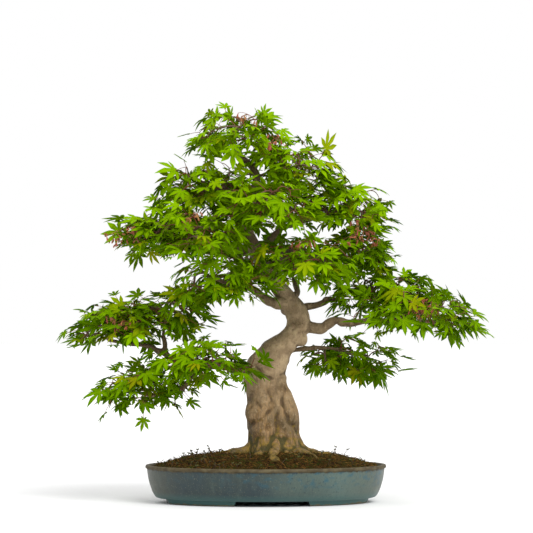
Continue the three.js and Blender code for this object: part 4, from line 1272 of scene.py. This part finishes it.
def grow_twigs(starts, targets, random):
    """Twigs from a branch to every target. Nearer targets are reached first, each from the closest place
    on the branch or on a twig that has already grown, by a curve that first rises.

    Returns the twigs' paths and how many targets each one feeds.
    """
    distance = np.linalg.norm(targets[:, None] - starts[None], axis=2).min(axis=1)
    order = np.argsort(distance)
    places, owner = [*starts], [-1] * len(starts)
    paths, parents = [], []
    for number, target in enumerate(targets[order]):
        known = np.array(places)
        gap = target - known
        away = np.linalg.norm(gap, axis=1)
        cost = away + 0.35 * np.abs(gap[:, 2]) + 1.5 * (np.array(owner) < 0)
        nearest = int(np.argmin(np.where(away < 4, 1e9, cost)))
        start = known[nearest]
        bow = np.array([0, 0, 0.12 * away[nearest]]) + random.normal(0, 0.05 * away[nearest], 3)
        t = np.linspace(0, 1, 6)[:, None]
        path = start + (target - start) * t + bow * (4 * t * (1 - t))
        paths.append(path)
        parents.append(owner[nearest])
        for share in (2, 3, 4, 5):
            places.append(path[share])
            owner.append(number)
    load = np.ones(len(paths))
    for number in range(len(paths) - 1, -1, -1):
        if parents[number] >= 0:
            load[parents[number]] += load[number]
    return np.array(paths), load


def twig_starts(branches, middle, half):
    """The places on a canopy's branches, in or near its cushion, where twigs can leave the wood."""
    starts = []
    for branch in branches:
        if branch == "trunk_tip":
            line = smooth_path(TRUNK, TRUNK_ROWS)[:, :3]
            line = line[line[:, 2] > CROWN_WOOD_FROM][::3]
        else:
            line = branch_line(branch, 5.0)[0]
            line = line[len(line) // 3:]
        near = np.linalg.norm((line - middle) / (half * 1.25), axis=1) < 1.15
        starts.append(line[near] if near.any() else line[-4:])
    return np.concatenate(starts)


def stalk_nodes(paths, settings, random):
    """The places where pairs of leaf stalks leave the twigs, and each twig's heading there: one pair at
    every twig's end, a second for a share of the ends, and two more for a share of inner places."""
    count = len(paths)
    heading = unit(paths[:, 5] - paths[:, 3])
    nodes = np.concatenate([paths[:, 5], paths[:, 5], paths[:, 3], paths[:, 4]])
    headings = np.concatenate([heading, heading, unit(paths[:, 4] - paths[:, 2]), heading])
    share = np.repeat([1.0, settings.second_pair, settings.inner_pair, settings.inner_pair], count)
    kept = random.uniform(0, 1, len(nodes)) < share
    return nodes[kept], headings[kept]


def leaf_stalks(nodes, headings, middle, half, random):
    """A pair of stalks at every node, one to each side and both drawn towards the canopy's rim, which
    droop along their length.

    Returns the stalks' paths and directions, the level way out of the canopy at each one, and how far
    out it is: 1 at the canopy's rim.
    """
    turn = random.uniform(0, np.pi, len(nodes))
    level = unit(np.cross(headings, [0, 0, 1.0]) + 1e-6)
    upright = np.cross(level, headings)
    spread = level * np.cos(turn)[:, None] + upright * (np.sin(turn) * 0.6)[:, None]
    outward = (nodes - middle) / half
    outward = np.concatenate([outward, outward])
    level_out = unit(outward * [1, 1, 0] + 1e-6)
    rim = np.linalg.norm(outward[:, :2], axis=1)[:, None]
    total = len(outward)
    direction = unit(
        np.concatenate([headings, headings]) * 0.55 + np.concatenate([spread, -spread]) * 0.95
        + level_out * 0.35 + [0, 0, 0.12] + random.normal(0, 0.15, (total, 3)))
    length = random.uniform(9, 25, total)[:, None, None]
    t = np.array([0, 0.5, 1.0])[None, :, None]
    starts = np.concatenate([nodes, nodes])[:, None]
    stalks = starts + direction[:, None] * length * t + np.array([0, 0, -1.0]) * length * 0.16 * t**2
    return stalks, direction, level_out, rim


def leaf_axes(direction, level_out, rim, settings, random):
    """Each leaf's own axes: its tip follows its stalk and sags, more so near the rim, and its face looks
    up and outwards."""
    total = len(direction)
    flat = unit(direction * [1, 1, 0.2] + level_out * 0.2 + random.normal(0, 0.3, (total, 3)))
    sag = random.uniform(-0.15, 1.0, total)[:, None] * (0.3 + 0.5 * np.clip(rim, 0, 1))
    tip = unit(flat + np.array([0, 0, -1.0]) * sag)
    facing = random.uniform(0, 1, total)[:, None] ** 1.6 * 2.2 * settings.leaf_tilt
    normal = np.array([0, 0, 0.9]) + level_out * facing + random.normal(0, 0.3, (total, 3))
    return tip, unit(normal - tip * np.sum(normal * tip, axis=1, keepdims=True))


def leaf_blades(ends, tip, normal, length, random):
    """All of a canopy's leaves at once: the template made narrower, bent down towards its edges, folded
    up from its middle and waved, each by its own random share, at the end of its stalk.

    Returns points, faces, and for each point how near it is to a midrib and whether it's underneath.
    """
    total = len(ends)
    template, faces, on_rib, under = leaf_template()
    side = np.cross(normal, tip)
    bend = random.uniform(0.02, 0.42, total)[:, None]
    fold = random.uniform(-0.02, 0.20, total)[:, None]
    narrow = random.uniform(0.78, 1.06, total)[:, None]
    x, y, z = template.T
    shape_y = y[None] * narrow
    shape_z = z[None] - bend * (x**2 + 0.8 * y**2)[None] + fold * np.abs(y)[None]
    shape_z = shape_z + 0.03 * np.sin(5 * x[None] + random.uniform(0, 6, (total, 1)))
    points = ends[:, None] + length[:, None, None] * (
        x[None, :, None] * tip[:, None] + shape_y[..., None] * side[:, None]
        + shape_z[..., None] * normal[:, None])
    first = np.arange(total)[:, None, None] * len(template)
    leaf_faces = [(group[None] + first).reshape(-1, group.shape[1]) for group in faces]
    return points.reshape(-1, 3), leaf_faces, np.tile(on_rib, total), np.tile(under, total)


def make_canopy(name, index, settings, finishes):
    """One branch's twigs, leaf stalks and leaves, as two pieces that stand for its cushion."""
    canopy, branches = CANOPIES[name]
    random = np.random.default_rng(100 + index)
    middle, half = np.array(canopy[:3], float), np.array(canopy[3:6], float)
    count = int(settings.twigs_per_canopy * (half[0] * half[1] / USUAL_CANOPY_AREA) ** 0.8)
    targets = canopy_targets(canopy, 1.7 * index, count, random)
    paths, load = grow_twigs(twig_starts(branches, middle, half), targets, random)
    radii = np.minimum(0.66 * load**0.42, 2.5)[:, None] * np.linspace(1.15, 0.8, 6)
    twigs = swept_tubes(paths, radii, 6)

    nodes, headings = stalk_nodes(paths, settings, random)
    stalks, direction, level_out, rim = leaf_stalks(nodes, headings, middle, half, random)
    total = len(stalks)
    if name == HANGING_LEAF_CANOPY:
        stalks[-1] = HANGING_STALK
    stalk_tubes = swept_tubes(stalks, np.full((total, 3), 0.42) * [1.25, 0.9, 1.0], 4)

    length = settings.leaf_length / MM * np.exp(random.normal(-0.02, 0.28, total)).clip(0.5, 1.42)
    tip, normal = leaf_axes(direction, level_out, rim, settings, random)
    if name == HANGING_LEAF_CANOPY:
        tip[-1], normal[-1] = unit(np.array([-0.2, 0, -1.0])), unit(np.array([0.1, -1.0, 0]))
    points, faces, on_rib, under = leaf_blades(stalks[:, -1], tip, normal, length, random)
    each = len(points) // total
    # Painted light: leaves high in their canopy, and canopies high in the crown, get the brighter leaf
    # colour, with a random spread.
    height = soft_step((nodes[:, 2] - middle[2]) / half[2], -0.7, 0.9)
    lit = 0.3 + 0.0016 * (middle[2] - CROWN_MIDDLE)
    bright = np.clip(np.concatenate([height, height]) * 0.5 + random.normal(lit, 0.22, total), 0, 1)
    young = random.uniform(0, 1, total)
    values = np.stack([np.repeat(bright, each), np.repeat(young, each), on_rib, under], axis=-1)
    node = f"leaves_{name}"
    new_piece(f"foliage_{name}", in_frame(points, TREE_TURN), faces, finishes["leaf"], [node],
              smooth=False, values=values)

    wood_points, wood_faces = joined([twigs, stalk_tubes])
    red = np.concatenate([np.repeat(1 - 0.8 * soft_step(radii[:, 0], 0.7, 1.6), len(twigs[0]) // count),
                          np.ones(len(stalk_tubes[0]))])
    shade = layered_noise(wood_points, 12, 81) * 0.5 + 0.5
    tones = np.stack([red, shade, 0 * red, 0 * red], axis=-1)
    new_piece(f"shoots_{name}", in_frame(wood_points, TREE_TURN), wood_faces, finishes["shoot"],
              [node], values=tones)


def leaf_finish(settings):
    """Fresh green leaf: from a shaded to a sunlit colour by its own tone, which paints light from above
    with a random spread, yellower when young, with pale midribs, a fine unevenness pressed into the
    normal, and a duller underside."""
    finish = Finish("maple_leaf", 0.5)
    finish.shader.inputs["IOR"].default_value = 1.08
    finish.shader.inputs["Specular IOR Level"].default_value = 0.2
    layer = finish.add("ShaderNodeAttribute", attribute_name="tone")
    tone = finish.tone()
    patch = finish.noise(60.0, 3.0)["Fac"]
    bright = finish.reckoned("MULTIPLY_ADD", patch, 0.7, tone["Red"])
    # Painted light: the tone mixes from the shaded to the sunlit leaf colour.
    colour = finish.mixed(finish.between(bright, 0.25, 1.15), rgba(settings.leaf_dark),
                          rgba(settings.leaf_bright))
    colour = finish.mixed(finish.between(tone["Green"], 0.86, 1.0, 0, 0.6), colour,
                          rgba(settings.leaf_young))
    rib = finish.between(tone["Blue"], 0.78, 0.98, 0, 0.5)
    colour = finish.mixed(rib, colour, rgba(settings.leaf_rib))
    under = finish.between(layer.outputs["Alpha"], 0.05, 0.6, 0, 0.55)
    colour = finish.mixed(under, colour, rgba(settings.leaf_under))
    finish.set("Base Color", colour)
    finish.set("Roughness", finish.between(patch, 0.35, 0.65, 0.42, 0.6))
    finish.relief(700, 0.35, 0.0004)
    return finish.material


def shoot_finish(settings):
    """Thin twigs: brown-grey where thick, red-brown where they are this year's growth."""
    finish = Finish("maple_shoot", 0.6)
    tone = finish.tone()
    colour = finish.mixed(tone["Red"], rgba(settings.bark_twig), rgba(settings.shoot_red))
    varied = finish.mottled(colour, rgba(settings.shoot_green), 30, 0.5, 0.66, 0.55)
    finish.set("Base Color", varied.outputs["Color"])
    finish.relief(900, 0.4, 0.0003)
    return finish.material


def make_seeds(settings):
    """Clusters of winged seeds: thin red stalks that fan out and droop from one place, each with two
    wings. A stalk is a bent tube, and a wing is a flattened tube that widens and narrows along its
    length."""
    random = np.random.default_rng(300)
    stalks_each = 9
    middles = np.repeat(np.array(SEED_CLUSTERS, float), stalks_each, axis=0)
    total = len(middles)
    heading = unit(random.normal(0, 1, (total, 3)) * [1, 1, 0.7] + [0, -0.3, -0.15])
    length = random.uniform(9, 20, total)[:, None, None]
    t = np.linspace(0, 1, 5)[None, :, None]
    fall = np.array([0, 0, -1.0])
    paths = middles[:, None] + heading[:, None] * length * t + fall * length * 0.35 * t**2
    stalk = swept_tubes(paths, np.full((total, 5), 0.34), 4)
    ends = np.repeat(paths[:, -1], 2, axis=0)
    swing = np.cross(np.repeat(heading, 2, axis=0), random.normal(0, 1, (2 * total, 3)))
    spread = unit(swing + np.array([0, 0, -0.55]))
    reach = random.uniform(5, 8.5, (2 * total, 1, 1))
    wings = ends[:, None] + spread[:, None] * reach * t + fall * reach * 0.2 * t**2
    wing = swept_tubes(wings, np.array([0.6, 0.8, 1.3, 1.4, 0.5]) + np.zeros((2 * total, 1)), 6, 0.22)
    points, faces = joined([stalk, wing])
    tone = np.concatenate([np.full(len(stalk[0]), 0.2), np.full(len(wing[0]), 0.8)])
    tone = tone + 0.2 * smooth_noise(points, 9, 91)
    finish = Finish("seed_wings", 0.5)
    parts = finish.tone()
    colour = finish.mixed(parts["Red"], rgba(settings.shoot_red), rgba(settings.seed))
    varied = finish.mottled(colour, rgba(settings.seed_green), 70, 0.5, 0.66, 0.6)
    finish.set("Base Color", varied.outputs["Color"])
    finish.relief(800, 0.4, 0.0003)
    nodes = [f"leaves_{name}" for name in SEED_CANOPIES]
    new_piece("seed_clusters", in_frame(points, TREE_TURN), faces, finish.material, nodes,
              values=np.stack([tone, tone, tone, tone], axis=-1))


def make_sprouts(settings):
    """Thin seedlings and moss stalks that stand up from the ground: bent tubes that lean outwards, with
    small flattened leaves at their tops."""
    count, to_the_left, each = 64, 40, 3
    places, random = scattered(count, 0.5, 0.97, 61)
    places[:to_the_left, 0] = -np.abs(places[:to_the_left, 0])
    places[:, 2] = ground_height(places[:, 0], places[:, 1])
    height = random.gamma(4.0, 1.8, count).clip(4, 14)[:, None, None]
    lean = random.normal(0, 0.4, (count, 3)) * [1, 1, 0]
    t = np.linspace(0, 1, 5)[None, :, None]
    paths = places[:, None] + (np.array([0, 0, 1.0]) * t + lean[:, None] * t**2) * height
    stems = swept_tubes(paths, np.full((count, 5), 0.55) * np.linspace(1.1, 0.7, 5), 4)
    ends = np.repeat(paths[:, -1], each, axis=0)
    turn = random.uniform(0, 2 * np.pi, count * each)
    out = np.stack([np.cos(turn), np.sin(turn), random.uniform(-0.1, 0.7, count * each)], axis=-1)
    reach = random.uniform(1.8, 4.2, (count * each, 1, 1))
    leaves = ends[:, None] + out[:, None] * reach * t
    widths = np.array([0.3, 0.9, 1.1, 0.8, 0.3]) + np.zeros((count * each, 1))
    blades = swept_tubes(leaves, widths, 6, 0.25)
    points, faces = joined([stems, blades])
    tone = np.concatenate([np.zeros(len(stems[0])), np.ones(len(blades[0]))]) * 0.7
    tone = tone + 0.3 * smooth_noise(points, 20, 93)
    finish = Finish("seedlings", 0.6)
    parts = finish.tone()
    colour = finish.mixed(parts["Red"], rgba(settings.litter), rgba(settings.seedling))
    varied = finish.mottled(colour, rgba(settings.litter), 120, 0.5, 0.66, 0.6)
    finish.set("Base Color", varied.outputs["Color"])
    finish.relief(800, 0.4, 0.0003)
    new_piece("seedlings", in_frame(points), faces, finish.material, ["moss"],
              values=np.stack([tone, tone, tone, tone], axis=-1))


def make_foliage(settings):
    """Every canopy in turn."""
    finishes = {"leaf": leaf_finish(settings), "shoot": shoot_finish(settings)}
    for index, name in enumerate(CANOPIES):
        make_canopy(name, index, settings, finishes)


# ---- stage ----


def make_floor(settings):
    """A wide round pale floor, just under the feet."""
    columns = 96
    angle = np.linspace(0, 2 * np.pi, columns, endpoint=False)
    rings = np.array([0.5, 3.0, settings.floor_radius])[:, None]
    rim = np.stack([rings * np.cos(angle), rings * np.sin(angle), 0 * rings + 0 * angle], axis=-1)
    points = np.concatenate([rim.reshape(-1, 3), [[0, 0, 0]]]) - [0, 0, FLOOR_DROP]
    column = np.arange(columns)
    cap = np.stack([np.full(columns, len(points) - 1), column, (column + 1) % columns], axis=1)
    mesh = bpy.data.meshes.new("studio_floor")
    fill_mesh(mesh, points, [grid_quads(len(rings), columns)[:, ::-1], cap], False)
    paper = Finish("studio_paper", 0.9)
    shade = paper.mottled(rgba(settings.floor), rgba(settings.floor), 2.0, 0.4, 0.6, 0.5)
    paper.set("Base Color", shade.outputs["Color"])
    paper.relief(60, 0.05, 0.0005)
    mesh.materials.append(paper.material)
    in_scene("studio_floor", mesh)


def make_stage(settings):
    """The floor, even daylight from all round, one broad soft lamp from the upper front right, and the
    camera level with the tree's middle."""
    make_floor(settings)
    scene = bpy.context.scene
    world = bpy.data.worlds.new("studio")
    scene.world = world
    world.use_nodes = True
    sky = world.node_tree.nodes["Background"]
    sky.inputs["Color"].default_value = (1, 1, 1, 1)
    sky.inputs["Strength"].default_value = settings.fill
    scene.view_settings.view_transform = "Standard"
    scene.view_settings.look = "None"

    sun = bpy.data.lights.new("soft_lamp", "SUN")
    sun.energy = settings.lamp
    sun.angle = math.radians(settings.lamp_spread)
    lamp = in_scene("soft_lamp", sun)
    lamp.rotation_euler = (math.radians(settings.lamp_slope), 0, math.radians(settings.lamp_heading))

    lens = bpy.data.cameras.new("camera")
    lens.sensor_width = 36
    lens.lens = settings.lens
    lens.clip_end = 60
    camera = in_scene("camera", lens)
    back = np.array([math.sin(TREE_TURN), -math.cos(TREE_TURN), 0]) * settings.camera_distance
    aside = np.array([math.cos(TREE_TURN), math.sin(TREE_TURN), 0]) * settings.camera_shift
    camera.location = POT_MIDDLE + back + aside + [0, 0, settings.camera_height]
    camera.rotation_euler = (math.radians(90), 0, TREE_TURN)
    scene.camera = camera


# ---- settings, operators and panel ----


def size(label, text, default):
    """A length property in metres."""
    return bpy.props.FloatProperty(name=label, description=text, default=default, min=0.0, unit="LENGTH")


def how_many(label, text, default, low):
    """A whole number property."""
    return bpy.props.IntProperty(name=label, description=text, default=default, min=low)


def number(label, text, default, low=0.0, high=100.0):
    """A plain number property."""
    return bpy.props.FloatProperty(name=label, description=text, default=default, min=low, max=high)


def paint(label, text, default):
    """A colour property."""
    return bpy.props.FloatVectorProperty(name=label, description=text, default=default, size=3, min=0.0,
                                         max=1.0, subtype="COLOR")


class PotSettings(bpy.types.PropertyGroup):
    """Colours of the pot and its wires."""

    glaze: paint("Glaze", "Slate blue of the wall", (0.021, 0.035, 0.04))
    glaze_green: paint("Grey-green glaze", "Clouds of grey-green", (0.04, 0.054, 0.04))
    glaze_olive: paint("Olive glaze", "Where the glaze is thin, at both ends", (0.068, 0.07, 0.042))
    # This colour also paints light on the pot's +X end.
    glaze_pale_and_lit: paint("Pale glaze", "Paler teal towards one end", (0.083, 0.124, 0.108))
    # Dark glaze: streaks and specks on the wall, and a band of dark streaks just under the lip.
    glaze_dark: paint("Deep glaze", "Runs under the lip", (0.013, 0.027, 0.036))
    glaze_pool: paint("Pooled glaze", "Turquoise where the glaze is thick", (0.012, 0.078, 0.112))
    glaze_foot: paint("Foot glaze", "Teal band by the foot", (0.03, 0.1, 0.092))
    glaze_grain: paint("Glaze grain", "Pale grains in the glaze", (0.16, 0.17, 0.12))
    lip: paint("Lip", "Brown clay along the lip", (0.05, 0.035, 0.013))
    lip_worn: paint("Worn clay", "Paler clay on worn edges", (0.12, 0.098, 0.05))
    wire: paint("Wire", "Bright aluminium", (0.42, 0.38, 0.33))
    wire_dull: paint("Dull wire", "Oxidised patches", (0.2, 0.17, 0.14))
    screen: paint("Screen", "Dark plastic", (0.016, 0.017, 0.016))
    screen_dusty: paint("Dusty screen", "Plastic with dried soil on it", (0.07, 0.055, 0.04))
    grit: paint("Grit", "Pumice and lava grit", (0.3, 0.26, 0.22))
    grit_dark_and_gap_shade: paint("Dark grit", "Wet or dark grit", (0.09, 0.06, 0.045))
    soil: paint("Soil", "Baked clay soil", (0.09, 0.055, 0.03))
    soil_dark: paint("Dark soil", "Damp soil", (0.03, 0.018, 0.01))


class GroundSettings(bpy.types.PropertyGroup):
    """The moss and litter on the soil."""

    litter_count: how_many("Litter stems", "How many dead stems lie on the soil", 5200, 0)
    litter: paint("Litter", "Brown litter", (0.05, 0.024, 0.0045))
    litter_dark: paint("Dark litter", "Shaded litter", (0.011, 0.006, 0.0015))
    stem_pale: paint("Pale stems", "Dry stems", (0.2, 0.098, 0.022))
    moss_olive: paint("Olive moss", "Dull moss", (0.04, 0.036, 0.005))
    seedling: paint("Seedling", "Seedling leaves", (0.07, 0.085, 0.01))
    moss_green: paint("Green moss", "Living moss", (0.03, 0.05, 0.005))


class WoodSettings(bpy.types.PropertyGroup):
    """The bark."""

    wood_cell: size("Skin cell", "Size of the cells that the wood's skin is made from", 0.0018)
    bark: paint("Bark", "Grey-beige bark of the upper trunk", (0.27, 0.185, 0.098))
    # Also the painted highlight on the bark's ridges.
    bark_pale_and_ridge_highlight: paint("Pale bark", "Worn or sunlit bark", (0.49, 0.36, 0.205))
    bark_low: paint("Lower bark", "Browner bark near the roots", (0.13, 0.07, 0.02))
    bark_stain: paint("Stained bark", "Olive-brown weathering low on the trunk", (0.085, 0.056, 0.018))
    bark_tan: paint("Tan bark", "Ridges of the lower bark", (0.32, 0.178, 0.06))
    # Also the painted shade in the bark's hollows and folds.
    bark_dark_and_hollow_shade: paint("Dark bark", "Bark in cracks and hollows", (0.05, 0.027, 0.008))
    bark_twig: paint("Twig bark", "Bark of thin branches", (0.1, 0.062, 0.024))
    moss_trunk: paint("Trunk moss", "Yellow-green growth on the roots", (0.27, 0.168, 0.022))
    # Also the painted shade in mossy hollows near the ground.
    moss_trunk_dark_and_shade: paint("Dark trunk moss", "Growth in the shade", (0.05, 0.042, 0.005))


class FoliageSettings(bpy.types.PropertyGroup):
    """Twigs and leaves."""

    leaf_length: size("Leaf length", "From the stalk to the middle lobe's tip", 0.0258)
    leaf_tilt: number("Leaf tilt", "How far the leaves face outwards, against upwards", 0.62)
    twigs_per_canopy: how_many("Twigs", "Twigs in a canopy of usual size", 46, 4)
    second_pair: number("Second pairs", "Share of twig ends with a second pair of leaves", 0.12, 0, 1)
    inner_pair: number("Inner pairs", "Share of inner nodes with a pair of leaves", 0.13, 0, 1)
    leaf_dark: paint("Dark leaf", "Shaded leaf", (0.058, 0.146, 0.0001))
    leaf_bright: paint("Bright leaf", "Sunlit leaf", (0.185, 0.35, 0.0002))
    leaf_young: paint("Young leaf", "Yellow-green new leaf", (0.29, 0.25, 0.003))
    leaf_rib: paint("Midrib", "Midribs", (0.28, 0.39, 0.003))
    leaf_under: paint("Underside", "Under the leaf", (0.085, 0.17, 0.0005))
    bark_twig: paint("Twig", "Older twig", (0.12, 0.085, 0.05))
    shoot_red: paint("Red shoot", "This year's shoot", (0.2, 0.045, 0.022))
    seed: paint("Seed wing", "Fresh red seed wings", (0.36, 0.085, 0.035))
    seed_green: paint("Green seed wing", "Greener seed wings", (0.26, 0.2, 0.03))
    shoot_green: paint("Green shoot", "Greener stalks", (0.16, 0.13, 0.02))


class StageSettings(bpy.types.PropertyGroup):
    """Floor, light and camera."""

    floor_radius: size("Floor radius", "Half width of the round floor", 12.0)
    floor: paint("Floor", "Pale paper", (0.9, 0.9, 0.9))
    fill: number("Fill", "Strength of the even light", 1.0)
    lamp: number("Lamp", "Strength of the soft lamp", 2.0)
    lamp_heading: number("Lamp heading", "Turn of the lamp to the right of the front", 24.0, -180, 180)
    lamp_slope: number("Lamp slope", "How far the lamp is from straight overhead", 48.0, 0, 90)
    lamp_spread: number("Lamp spread", "How wide the lamp looks, which softens shadows", 35.0, 0, 180)
    lens: number("Lens", "Focal length in millimetres", 244.6, 1, 1000)
    camera_distance: size("Camera distance", "From the pot's middle", 6.0)
    camera_height: size("Camera height", "Over the table", 0.3897)
    camera_shift: size("Camera shift", "To the right of the pot's middle", 0.001)


class BONSAI_OT_pot(bpy.types.Operator):
    """Adds the glazed pot with its drain and wire holes"""

    bl_idname = "bonsai.pot"
    bl_label = "Pot"

    def execute(self, context):
        make_pot(context.scene.bonsai_pot)
        return {"FINISHED"}


class BONSAI_OT_wires(bpy.types.Operator):
    """Adds the screen staples and the wire that holds the roots, and finishes screens, grit and soil"""

    bl_idname = "bonsai.wires"
    bl_label = "Wires and Layers"

    def execute(self, context):
        make_wires(context.scene.bonsai_pot)
        dress_hidden_nodes(context.scene.bonsai_pot)
        return {"FINISHED"}


class BONSAI_OT_ground(bpy.types.Operator):
    """Adds the moss, litter and stems on the soil"""

    bl_idname = "bonsai.ground"
    bl_label = "Ground"

    def execute(self, context):
        make_ground(context.scene.bonsai_ground)
        make_litter(context.scene.bonsai_ground)
        make_sprouts(context.scene.bonsai_ground)
        return {"FINISHED"}


class BONSAI_OT_wood(bpy.types.Operator):
    """Adds the trunk, roots and main branches as one skin of wood"""

    bl_idname = "bonsai.wood"
    bl_label = "Wood"

    def execute(self, context):
        make_wood(context.scene.bonsai_wood)
        return {"FINISHED"}


class BONSAI_OT_foliage(bpy.types.Operator):
    """Adds the twigs, stalks and leaves of every canopy"""

    bl_idname = "bonsai.foliage"
    bl_label = "Foliage"

    def execute(self, context):
        make_foliage(context.scene.bonsai_foliage)
        make_seeds(context.scene.bonsai_foliage)
        return {"FINISHED"}


class BONSAI_OT_stage(bpy.types.Operator):
    """Adds the floor, the light and the camera"""

    bl_idname = "bonsai.stage"
    bl_label = "Stage"

    def execute(self, context):
        make_stage(context.scene.bonsai_stage)
        return {"FINISHED"}


OPERATORS = (BONSAI_OT_pot, BONSAI_OT_wires, BONSAI_OT_ground, BONSAI_OT_wood, BONSAI_OT_foliage,
             BONSAI_OT_stage)
SETTINGS = {"bonsai_pot": PotSettings, "bonsai_ground": GroundSettings, "bonsai_wood": WoodSettings,
            "bonsai_foliage": FoliageSettings, "bonsai_stage": StageSettings}


class BONSAI_PT_panel(bpy.types.Panel):
    """Lists the pieces of the bonsai"""

    bl_idname = "BONSAI_PT_panel"
    bl_label = "Maple Bonsai"
    bl_space_type = "VIEW_3D"
    bl_region_type = "UI"
    bl_category = "Bonsai"

    def draw(self, context):
        for operator in OPERATORS:
            self.layout.operator(operator.bl_idname)
        for name in SETTINGS:
            group = getattr(context.scene, name)
            box = self.layout.box()
            box.label(text=group.__class__.__doc__)
            for prop in group.bl_rna.properties:
                if prop.identifier not in {"rna_type", "name"}:
                    box.prop(group, prop.identifier)


def register():
    """Registers the settings, operators and panel."""
    for group in SETTINGS.values():
        bpy.utils.register_class(group)
    for operator in (*OPERATORS, BONSAI_PT_panel):
        bpy.utils.register_class(operator)
    for name, group in SETTINGS.items():
        setattr(bpy.types.Scene, name, bpy.props.PointerProperty(type=group))


def unregister():
    """Removes what register added."""
    for name in SETTINGS:
        delattr(bpy.types.Scene, name)
    for operator in (BONSAI_PT_panel, *reversed(OPERATORS)):
        bpy.utils.unregister_class(operator)
    for group in reversed(SETTINGS.values()):
        bpy.utils.unregister_class(group)


def main():
    """Builds everything in order."""
    register()
    bpy.ops.bonsai.pot()
    bpy.ops.bonsai.wires()
    bpy.ops.bonsai.ground()
    bpy.ops.bonsai.wood()
    bpy.ops.bonsai.foliage()
    bpy.ops.bonsai.stage()


if __name__ == "__main__":
    main()
